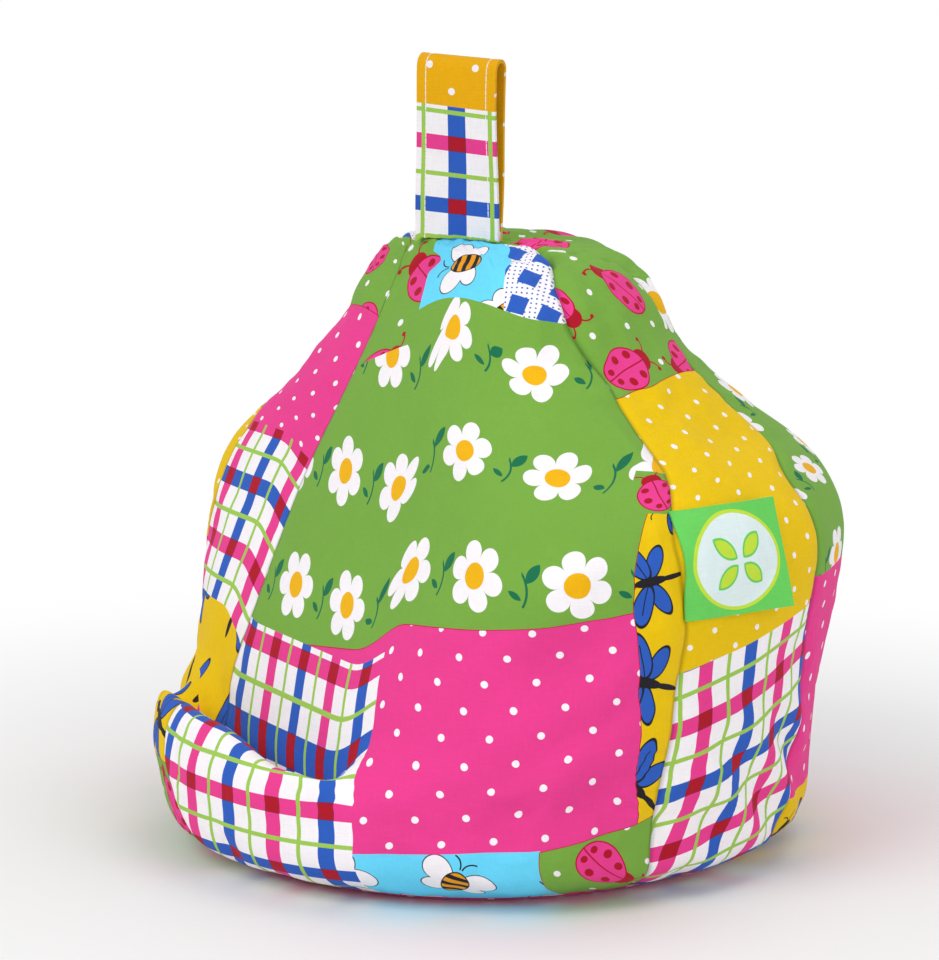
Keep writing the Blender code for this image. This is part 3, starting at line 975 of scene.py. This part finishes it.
def edge_at(edge, other):
    """A patch's edge: a number, or (start, slope) along the other direction."""
    if isinstance(edge, tuple):
        return other * edge[1] + edge[0]
    return edge


def patch(x, y, left=None, right=None, bottom=None, top=None):
    """The distance to the region between the edges that are given."""
    distances = []
    if left is not None:
        distances.append(edge_at(left, y) - x)
    if right is not None:
        distances.append(x - edge_at(right, y))
    if bottom is not None:
        distances.append(edge_at(bottom, x) - y)
    if top is not None:
        distances.append(y - edge_at(top, x))
    return highest(*distances)


def rimmed(colour, cloth, distance):
    """Print a patch with the narrow dark rim that such prints have."""
    return ink(ink(colour, CRIMSON, distance - RIM), cloth, distance)


def cloth_place(tree, print_map):
    """The place on a print, in millimetres across and up."""
    cloth = Thread(tree)
    flat = cloth.node("ShaderNodeUVMap", {"uv_map": print_map})
    metres = cloth.node("ShaderNodeVectorMath", {"operation": "SCALE"}, {0: flat, "Scale": 1000.0})
    x = cloth.node("ShaderNodeSeparateXYZ", None, {0: metres}, output=0)
    return x, Thread(tree, x.output.node.outputs[1])


def cap_place(tree):
    """The place on the crown's small pieces, in millimetres, as seen from over the front."""
    cloth = Thread(tree)
    place = cloth.node("ShaderNodeTexCoord", output=3)
    turn, rise = CAP_VIEW
    across = (cos(turn), sin(turn), 0.0)
    up = (-sin(rise) * sin(turn), sin(rise) * cos(turn), cos(rise))
    return [cloth.node("ShaderNodeVectorMath", {"operation": "DOT_PRODUCT"},
                       {0: place, 1: way}, output=1) * 1000.0 for way in (across, up)]


def start_cloth(name):
    """A new material and the place on its print."""
    material = bpy.data.materials.new(name)
    material.use_nodes = True
    return material, *cloth_place(material.node_tree, "print")


def finish_cotton(material, x, y, colour, roughness=0.82, sheen=0.04, dye_and_shade_level=0.86, seams=False):
    """Lay the ink on woven cotton: thread bump, small creases, slightly uneven dye, and painted
    shade: a dark line on the seams, and a lower level on a piece in shade.
    """
    shader = material.node_tree.nodes["Principled BSDF"]
    shader.inputs["Sheen Weight"].default_value = sheen
    shader.inputs["Sheen Roughness"].default_value = 0.5
    shader.inputs["Specular IOR Level"].default_value = 0.18
    place = x.node("ShaderNodeTexCoord", output=3)
    cloudy = x.node("ShaderNodeTexNoise", None,
                    {"Vector": place, "Scale": 38.0, "Detail": 3.0, "Roughness": 0.6})
    # The piece's base level: the dye's own brightness, set lower on a piece in shade as painted
    # shade.
    shade = x.math("MULTIPLY_ADD", cloudy, 0.12, dye_and_shade_level)
    for long, short in ((0.16, 1.9), (1.9, 0.16)):
        strand = x.node("ShaderNodeCombineXYZ", None, {0: x * long, 1: y * short})
        slub = x.node("ShaderNodeTexNoise", {"noise_dimensions": "2D"},
                      {"Vector": strand, "Scale": 1.0, "Detail": 1.0})
        shade = x.math("MULTIPLY_ADD", slub, 0.08, shade)
    # Painted shade: the colour darkens on the sewn columns, where the seams' grooves hold shade.
    if seams:
        sewn = x.node("ShaderNodeAttribute", {"attribute_name": "sewn"}, output=2)
        shade = shade * (1.0 - sewn * SEAM_SHADE)
    tinted = x.node("ShaderNodeVectorMath", {"operation": "SCALE"}, {0: colour, "Scale": shade})
    rough = x.math("MULTIPLY_ADD", cloudy, 0.12, roughness - 0.06)
    creases = x.node("ShaderNodeTexNoise", None,
                     {"Vector": place, "Scale": 120.0, "Detail": 4.0, "Roughness": 0.62})
    warp, weft = (x.math("SINE", way * (2.0 * pi / THREAD_SPACING)) for way in (x, y))
    height = warp * weft * 0.045 + creases * 1.2
    bump = x.node("ShaderNodeBump", None,
                  {"Strength": 0.5, "Distance": BUMP_HEIGHT, "Height": height})
    links = material.node_tree.links
    links.new(tinted.output, shader.inputs["Base Color"])
    links.new(rough.output, shader.inputs["Roughness"])
    links.new(bump.output, shader.inputs["Normal"])
    return material


print("cotton is rough and faintly sheer at its edges")

# %% [markdown]
# ## The front panel
#
# From the crown down, the front shows ladybirds, bees and a check, then a large piece of
# daisies, then pink spots, and a narrow piece of bees over the table. The roll and the left of
# the panel are plaid. By the right seam is a strip of dragonflies under a scrap of ladybirds.

# %% Print the front panel


def front_print():
    material, x, y = start_cloth("front_print")
    lean_x, lean_y = cloth_place(material.node_tree, "leaning")
    colour = daisy_cloth(lean_x - 74.0, lean_y - 189.4)
    pink = spots(x - 4.0, y - x * 0.08 - 3.0, PINK)
    colour = rimmed(colour, pink, patch(x, y, top=(116.0, 0.13)))
    dragons = dragonfly_cloth(x - 124.0, y - 144.0, turn=1.75, spin=0.5, drop=0.12)
    colour = rimmed(colour, dragons, patch(x, y, left=(112.8, 0.03), top=176.0))
    birds = ladybird_cloth(x - 119.0, y - 189.0)
    colour = ink(colour, birds, patch(x, y, left=(131.2, -0.125), bottom=176.0, top=202.0))
    bees = bee_cloth((x - 45.0) / 1.15, (y - 28.0) / 1.15)
    colour = ink(colour, bees, patch(x, y, right=77.0, top=(38.5, 0.06)))
    colour = rimmed(colour, birds, patch(x, y, left=77.0, top=(27.0, 0.20)))
    plaid = plaid_cloth(x, y, blue_x=-1.5, blue_y=28.5, pitch_x=23.0, pitch_y=25.5)
    colour = ink(colour, plaid, patch(x, y, right=9.0, top=110.0))
    cap = patch(x, y, bottom=(255.0, 0.18))
    cap_x, cap_y = cap_place(material.node_tree)
    colour = ink(colour, bee_cloth(cap_x + 0.5, cap_y - 165.0, turn=1.4), cap)
    check = patch(x, y, left=(101.0, -0.25), bottom=(255.0, 0.18))
    colour = ink(colour, check_cloth(cap_x, cap_y), check)
    crown_birds = ladybird_cloth(cap_x + 18.0, cap_y - 167.0)
    colour = ink(colour, crown_birds, patch(x, y, right=-13.5, bottom=240.0))
    return finish_cotton(material, x, y, colour, seams=True)


cover.data.materials.append(front_print())
print("front print:", len(cover.data.materials[0].node_tree.nodes), "nodes")

# %% [markdown]
# ## The side panels
#
# The right side has ladybirds on green near the crown, yellow spots in the middle and plaid
# below. The left side is mostly hidden in a front view: dragonflies over ladybirds show low
# down, and what lies above is chosen from the same cloths.

# %% Print the side panels


def right_print():
    material, x, y = start_cloth("right_print")
    colour = spots(x + 3.0, y - 4.0 + x * 0.1, YELLOW, 21.6, 6.3, 1.15)
    birds = ladybird_cloth(x - 2.0, y - 262.0)
    colour = rimmed(colour, birds, patch(x, y, bottom=(224.0, 0.13)))
    plaid = plaid_cloth(x - y * 0.06 + 3.6, y - x * 0.22, blue_x=-8.0, blue_y=68.5, pitch_x=22.0,
                        pitch_y=24.0)
    colour = ink(colour, plaid, patch(x, y, top=(113.0, 0.20)))
    return finish_cotton(material, x, y, colour, seams=True)


def left_print():
    material, x, y = start_cloth("left_print")
    colour = spots(x, y, PINK)
    colour = rimmed(colour, ladybird_cloth(x + 6.0, y - 268.0), patch(x, y, bottom=244.0))
    colour = ink(colour, plaid_cloth(x, y), patch(x, y, top=170.0))
    colour = ink(colour, dragonfly_cloth(x - 43.0, y - 66.0), patch(x, y, top=100.0))
    colour = rimmed(colour, ladybird_cloth(x - 47.0, y - 39.0), patch(x, y, top=52.0))
    return finish_cotton(material, x, y, colour, seams=True)


right_cloth = right_print()
left_cloth = left_print()
print("side prints:", len(right_cloth.node_tree.nodes), "and", len(left_cloth.node_tree.nodes))

# %% [markdown]
# ## The back and the base
#
# At the right edge the photograph shows daisies over pink spots on the back. The rest of the
# back is out of sight, so it carries the same seven cloths in a layout of its own. The round
# base, on which the bag stands, is cut from the spotted pink.

# %% Print the back and the base


def back_print():
    material, x, y = start_cloth("back_print")
    colour = daisy_cloth(x + 120.0, y - 180.0)
    colour = ink(colour, spots(x, y, YELLOW), patch(x, y, left=10.0, top=(190.0, 0.05)))
    colour = ink(colour, spots(x, y, PINK), patch(x, y, top=(124.0, -0.03)))
    plaid = plaid_cloth(x, y, blue_x=12.0, blue_y=40.0)
    colour = ink(colour, plaid, patch(x, y, left=-70.0, right=48.0, top=128.0))
    bees = bee_cloth(x - 90.0, y - 70.0)
    colour = ink(colour, bees, patch(x, y, left=48.0, right=128.0, top=112.0))
    birds = ladybird_cloth(x, y - 246.0)
    colour = ink(colour, birds, patch(x, y, left=48.0, top=48.0))
    colour = ink(colour, birds, patch(x, y, left=-52.0, right=70.0, bottom=214.0))
    colour = ink(colour, dragonfly_cloth(x + 90.0, y - 22.0), patch(x, y, right=-70.0, top=42.0))
    colour = ink(colour, check_cloth(x, y), patch(x, y, left=24.0, bottom=262.0))
    return finish_cotton(material, x, y, colour, seams=True)


def base_print():
    material, x, y = start_cloth("base_print")
    return finish_cotton(material, x, y, spots(x, y, PINK))


for cloth_print in (right_cloth, back_print(), left_cloth, base_print()):
    cover.data.materials.append(cloth_print)
print("the cover has", len(cover.data.materials), "prints")

# %% [markdown]
# ## The loop handle
#
# The handle is one strap of the same cotton: folded lengthways, topstitched along both edges,
# bent into a narrow loop and caught by both ends in the crown's seam. Its side outline is drawn
# once, with a narrow gap inside, and extruded across the strap's width. Its feet are let down
# onto the cover, and the soft fold at its top sags a little, more on the right. Its face gets a
# print of its own, laid out along the strap.

# %% Build the loop handle
SHARP_EDGE = radians(40.0)
STRAP_WIDTH = 0.0320
STRAP_THICKNESS = 0.0014
LOOP_TOP_HEIGHT = 0.2985
LOOP_GAP = 0.0062
LOOP_FOOT_GAP = 0.0010
STRAP_STEPS = 40
LEG_STEPS = 44
FOLD_STEPS = 12
TOPSTITCH_INSET = 0.0037
TOPSTITCH_DEPTH = 0.00022
TOPSTITCH_WIDTH, TOPSTITCH_LENGTH = 0.0009, 0.0026
FOOT_REACH = 0.0020
GAP = 0.0003
SWAY = 0.0007
FLARE = 0.07
FLARE_SHIFT = 0.0014
SAG = 0.0020
SAG_SLOPE = 0.034


def drop_on(x, y):
    """The height at which a small patch round x, y, let down from above, meets the cover."""
    starts = [Vector((x + over * FOOT_REACH, y + along * FOOT_REACH, LOOP_TOP_HEIGHT))
              for over in (-1, 0, 1) for along in (-1, 0, 1)]
    return max(cover_tree.ray_cast(start, Vector((0, 0, -1)))[0].z for start in starts)


def loop_outline(foot):
    """The inner and the outer line of half a loop, as (way from its middle, height, way along)."""
    rise = LOOP_TOP_HEIGHT - STRAP_THICKNESS - LOOP_GAP / 2.0 - foot
    low = foot + STRAP_THICKNESS * 2.0
    inner = [(0.0, low)]
    for step in range(1, LEG_STEPS + 1):
        share = step / LEG_STEPS
        half = LOOP_FOOT_GAP / 2.0 + (LOOP_GAP - LOOP_FOOT_GAP) / 2.0 * sin(share * pi / 2.0)
        inner.append((half, low + (rise + foot - low) * share))
    outer = [(half + STRAP_THICKNESS, height) for half, height in inner[1:]]
    outer.insert(0, (LOOP_FOOT_GAP / 2.0 + STRAP_THICKNESS, foot))
    for step in range(1, FOLD_STEPS + 1):
        turn = pi / 2.0 * step / FOLD_STEPS
        reach = LOOP_GAP / 2.0
        inner.append((reach * cos(turn), foot + rise + reach * sin(turn)))
        reach += STRAP_THICKNESS
        outer.append((reach * cos(turn), foot + rise + reach * sin(turn)))
    inner[-1] = (0.0, LOOP_TOP_HEIGHT - STRAP_THICKNESS)
    outer[-1] = (0.0, LOOP_TOP_HEIGHT)
    return inner, outer


def make_handle():
    middle = CROWN_LEAN * sin(BED_TURN)
    centre = -CROWN_LEAN * cos(BED_TURN) - CROWN_SEAM_FORWARD
    foot = drop_on(middle, centre)
    inner, outer = loop_outline(foot)
    loop = bmesh.new()
    left = middle - STRAP_WIDTH / 2.0
    walls = []
    for points in (inner, outer):
        front = [loop.verts.new((left, centre - half, height)) for half, height in points]
        back = [vert if half == 0.0 else loop.verts.new((left, centre + half, height))
                for vert, (half, height) in zip(front, points)]
        walls.append((front, back))
    faces = []
    for side in (0, 1):
        inside, outside = walls[0][side], walls[1][side]
        for i in range(len(inside) - 1):
            faces.append(loop.faces.new((inside[i], inside[i + 1], outside[i + 1], outside[i])))
    faces.append(loop.faces.new((walls[0][0][0], walls[1][0][0], walls[1][1][0])))
    for step in range(STRAP_STEPS):
        grown = bmesh.ops.extrude_face_region(loop, geom=faces)["geom"]
        verts = [item for item in grown if isinstance(item, bmesh.types.BMVert)]
        bmesh.ops.translate(loop, verts=verts, vec=(STRAP_WIDTH / STRAP_STEPS, 0, 0))
        if step:
            bmesh.ops.delete(loop, geom=faces, context="FACES_ONLY")
        faces = [item for item in grown if isinstance(item, bmesh.types.BMFace)]
    bmesh.ops.recalc_face_normals(loop, faces=loop.faces)
    return loop, foot, middle, centre


def finish_handle(loop, foot, middle, centre):
    """Lay out the strap's print, draw in its stitched lines, and seat its feet."""
    print_map = loop.loops.layers.uv.new("print")
    total = LOOP_TOP_HEIGHT - foot
    for face in loop.faces:
        face.smooth = True
        for corner in face.loops:
            place = corner.vert.co
            along = place.z - foot
            if place.y > centre + 1e-6:
                along = 2.0 * total - along
            corner[print_map].uv = (place.x - middle, along)
    loop.normal_update()
    normals = {vert: vert.normal.copy() for vert in loop.verts}
    for vert in loop.verts:
        across = vert.co.x - middle
        inset = STRAP_WIDTH / 2.0 - abs(across) - TOPSTITCH_INSET
        if vert.co.z > foot + STRAP_THICKNESS * 2.5 and abs(across) < STRAP_WIDTH / 2.0 - 1e-5:
            line = TOPSTITCH_DEPTH * exp(-(inset / TOPSTITCH_WIDTH)**2)
            pinch = 0.5 + 0.5 * cos(2.0 * pi * vert.co.z / TOPSTITCH_LENGTH)
            vert.co -= normals[vert] * line * (0.4 + 0.6 * pinch)
        rise = (vert.co.z - foot) / total
        sway = SWAY * sin(rise * 5.2 + across * 70.0) * smoothstep(0.05, 0.5, rise)
        vert.co.y += sway * (1.0 - smoothstep(0.85, 1.0, rise) * 0.5)
        vert.co.x += across * FLARE * (1.0 - rise) + FLARE_SHIFT * (rise - 0.35)
        if vert.co.z <= foot + 1e-6:
            vert.co.z = drop_on(vert.co.x, vert.co.y) + GAP
        else:
            vert.co.z -= rise * (SAG + SAG_SLOPE * across)


loop_mesh, loop_foot, loop_middle, loop_centre = make_handle()
finish_handle(loop_mesh, loop_foot, loop_middle, loop_centre)
strap = add_mesh("strap_loop", loop_mesh)
strap.data.set_sharp_from_angle(angle=SHARP_EDGE)
print("the loop stands", round(LOOP_TOP_HEIGHT - loop_foot, 4), "m over the crown")

# %% [markdown]
# The strap's front shows yellow spots over the fold and plaid below it. Its back is spotted
# yellow all the way down, which shows as a thin edge behind the front leg.

# %% Print the strap
STRAP_YELLOW = dye(238, 175, 0)


def strap_print():
    material, x, y = start_cloth("strap_print")
    total = (LOOP_TOP_HEIGHT - loop_foot) * 1000.0
    plaid = plaid_cloth(x, y + x * 0.035, blue_x=0.4, blue_y=total - 57.3, pitch_x=27.0,
                        pitch_y=24.0, wide=7.2, flat=5.8)
    colour = ink(spots(x + 1.5, y - total - 6.0, STRAP_YELLOW), plaid,
                 patch(x, y, top=(total - 19.0, -0.03)))
    inset = (STRAP_WIDTH / 2.0 - TOPSTITCH_INSET) * 1000.0
    line = abs(abs(x) - inset) - 0.16
    dash = abs(y.math("PINGPONG", y, 1.3) - 0.2) - 0.95
    colour = ink(colour, WHITE, highest(line, dash))
    # The strap's level is set lower than the cover's: painted shade, for a strap that faces less
    # light.
    return finish_cotton(material, x, y, colour, dye_and_shade_level=0.74)


strap.data.materials.append(strap_print())
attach(strap, "root")
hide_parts("loop_handle")

# %% [markdown]
# ## The label
#
# The label is a small piece of stiff printed cloth, caught by one side in the right front seam.
# Rays find the cover under its sewn and its free side, and a flat grid is stretched between
# them. It stands off towards its free side, clears the cover everywhere, and gets its thickness.

# %% Build the label
LABEL_WIDTH = 0.045
LABEL_DEPTH = 0.0378
LABEL_THICKNESS = 0.0009
LABEL_HEIGHT = 0.1272
LABEL_LIFT = 0.0070
LABEL_TURN = radians(58.7)
LABEL_SEAT = 0.0006
LABEL_STEPS = 36
LABEL_BOW = 0.0006
LABEL_WAVE = 0.0004
LABEL_SOFT = 0.0012
BULGE_RADIUS = STATIONS[4][1]


def outline_radius(height):
    """The turned outline's radius at a height."""
    return min(OUTLINE, key=lambda point: abs(point[0] - height))[1]


def soft_max(a, b, width):
    return -soft_min(-a, -b, width)


def label_spot(across, up):
    """Where the label would lie on the cover, lifted towards its free side, and the way out."""
    height = LABEL_HEIGHT + up * LABEL_DEPTH
    turn = LABEL_TURN + across * LABEL_WIDTH / outline_radius(height)
    away = Vector((sin(turn), -cos(turn), 0.0))
    start = away * (BULGE_RADIUS + LABEL_WIDTH) + Vector((0.0, 0.0, height))
    cloth = cover_tree.ray_cast(start, -away)[0]
    return cloth + away * (LABEL_SEAT + LABEL_LIFT * across**2), away


def make_label():
    label = bmesh.new()
    bmesh.ops.create_grid(label, x_segments=LABEL_STEPS, y_segments=LABEL_STEPS, size=0.5)
    print_map = label.loops.layers.uv.new("print")
    for face in label.faces:
        face.smooth = True
        for corner in face.loops:
            place = corner.vert.co
            corner[print_map].uv = (place.x * LABEL_WIDTH, place.y * LABEL_DEPTH)
    corners = {(side, end): label_spot(side, end)[0] for side in (0, 1) for end in (-0.5, 0.5)}
    outward = {}
    for vert in label.verts:
        across, up = vert.co.x + 0.5, vert.co.y
        left = corners[0, -0.5].lerp(corners[0, 0.5], up + 0.5)
        right = corners[1, -0.5].lerp(corners[1, 0.5], up + 0.5)
        laid, away = label_spot(across, up)
        flat = left.lerp(right, across)
        sink = (laid - flat).dot(away) - LABEL_LIFT * across**2
        wave = LABEL_WAVE * across * sin(across * 9.0 + up * 4.0)
        bow = LABEL_BOW * sin(pi * across)
        vert.co = flat + away * (soft_max(sink, 0.0, LABEL_SOFT) + wave + bow)
        outward[tuple(vert.co)] = away
    sides = bmesh.ops.extrude_face_region(label, geom=list(label.faces))["geom"]
    for vert in sides:
        if isinstance(vert, bmesh.types.BMVert):
            vert.co += outward[tuple(vert.co)] * LABEL_THICKNESS
    bmesh.ops.recalc_face_normals(label, faces=label.faces)
    return label


label = add_mesh("seam_label", make_label())
label.data.set_sharp_from_angle(angle=SHARP_EDGE)
print("the label is", round(LABEL_WIDTH * 1000), "by", round(LABEL_DEPTH * 1000, 1), "mm")

# %% [markdown]
# Its face is a smooth green field with a pale disc and a lime rim. The disc carries a plain
# four-leaved sprig, in the greens of the field.

# %% Print the label
LABEL_GREEN = dye(104, 208, 92)
LABEL_LIME = dye(196, 226, 60)
LABEL_PALE = dye(224, 240, 240)


def label_print():
    material, x, y = start_cloth("label_print")
    rim = oval(x, y, 0.0, 0.0, 20.0, 17.2)
    colour = ink(LABEL_GREEN, LABEL_LIME, rim)
    colour = ink(colour, LABEL_PALE, rim + 1.2)
    side = abs(x)
    high = abs(y)
    leaves = leaf(side, high, 6.0, 4.9, 12.0, 6.4, radians(-50.0))
    colour = ink(colour, LABEL_GREEN, leaves)
    colour = ink(colour, LABEL_LIME, leaves + 0.8)
    return finish_cotton(material, x, y, colour, roughness=0.55, sheen=0.05)


label.data.materials.append(label_print())
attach(label, "root")
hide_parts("label")
print("the label lies by the right front seam")

# %% [markdown]
# ## The floor and the light
#
# The photograph is a plain studio picture on white. A pale floor carries the bag's soft shadow
# and fades into the white backdrop. One large soft lamp stands at the left of the camera, a
# weaker one fills the right, and the world fills the rest at a plain level.

# %% The floor
FLOOR_SIZE = 6.0
FADE_START, FADE_END = 0.14, 0.42
FLOOR_PALE = 0.86
WHITE_LIGHT = (1.0, 1.0, 1.0, 1.0)

floor_mesh = bmesh.new()
bmesh.ops.create_grid(floor_mesh, x_segments=1, y_segments=1, size=FLOOR_SIZE)
floor = add_mesh("floor", floor_mesh)


def shown_directly(tree):
    """1 where the eye, a gloss or a clear thing sees a surface, 0 for the light it sends on."""
    path = Thread(tree).node("ShaderNodeLightPath", output=0)
    glossy = Thread(tree, path.output.node.outputs["Is Glossy Ray"])
    through = Thread(tree, path.output.node.outputs["Is Transmission Ray"])
    return highest(path, glossy, through)


def floor_material():
    material = bpy.data.materials.new("floor")
    material.use_nodes = True
    tree = material.node_tree
    shader = tree.nodes["Principled BSDF"]
    shader.inputs["Base Color"].default_value = (FLOOR_PALE, FLOOR_PALE, FLOOR_PALE, 1.0)
    shader.inputs["Roughness"].default_value = 0.9
    start = Thread(tree)
    place = start.node("ShaderNodeTexCoord", output=3)
    away = start.node("ShaderNodeVectorMath", {"operation": "LENGTH"}, {0: place}, output=1)
    fade = (away - FADE_START) / (FADE_END - FADE_START)
    fade = start.math("SMOOTH_MIN", fade, 1.0, 0.2)
    fade = start.math("MAXIMUM", fade, 0.0)
    seen = shown_directly(tree)
    white = start.node("ShaderNodeEmission", None, {"Color": WHITE_LIGHT, "Strength": 1.0})
    mixed = start.node("ShaderNodeMixShader", None,
                       {0: fade * seen, 1: Thread(tree, shader.outputs[0]), 2: white})
    tree.links.new(mixed.output, tree.nodes["Material Output"].inputs["Surface"])
    return material


floor.data.materials.append(floor_material())
print("the floor is", FLOOR_SIZE * 2, "m wide")

# %% The lamps and the world
KEY_POWER, FILL_POWER, TOP_POWER = 14.5, 7.5, 6.6
LIT_POINT = Vector((0.0, 0.0, 0.11))
WORLD_LEVEL = 0.57


def lamp(name, place, size, power):
    data = bpy.data.lights.new(name, "AREA")
    data.size = size
    data.energy = power
    made = add_object(name, data)
    made.location = place
    aim = LIT_POINT - Vector(place)
    made.rotation_euler = aim.to_track_quat("-Z", "Y").to_euler()


lamp("key_lamp", (-0.5, -1.5, 1.3), 1.1, KEY_POWER)
lamp("fill_lamp", (1.7, -0.9, 0.8), 1.2, FILL_POWER)
lamp("top_lamp", (0.3, 0.5, 1.9), 1.2, TOP_POWER)

world = bpy.data.worlds.new("studio")
bpy.context.scene.world = world
world.use_nodes = True
background = world.node_tree.nodes["Background"]
background.inputs["Color"].default_value = WHITE_LIGHT
level = shown_directly(world.node_tree) * (1.0 - WORLD_LEVEL) + WORLD_LEVEL
world.node_tree.links.new(level.output, background.inputs["Strength"])
view = bpy.context.scene.view_settings
view.view_transform = "Standard"
print("three lamps and a white world")
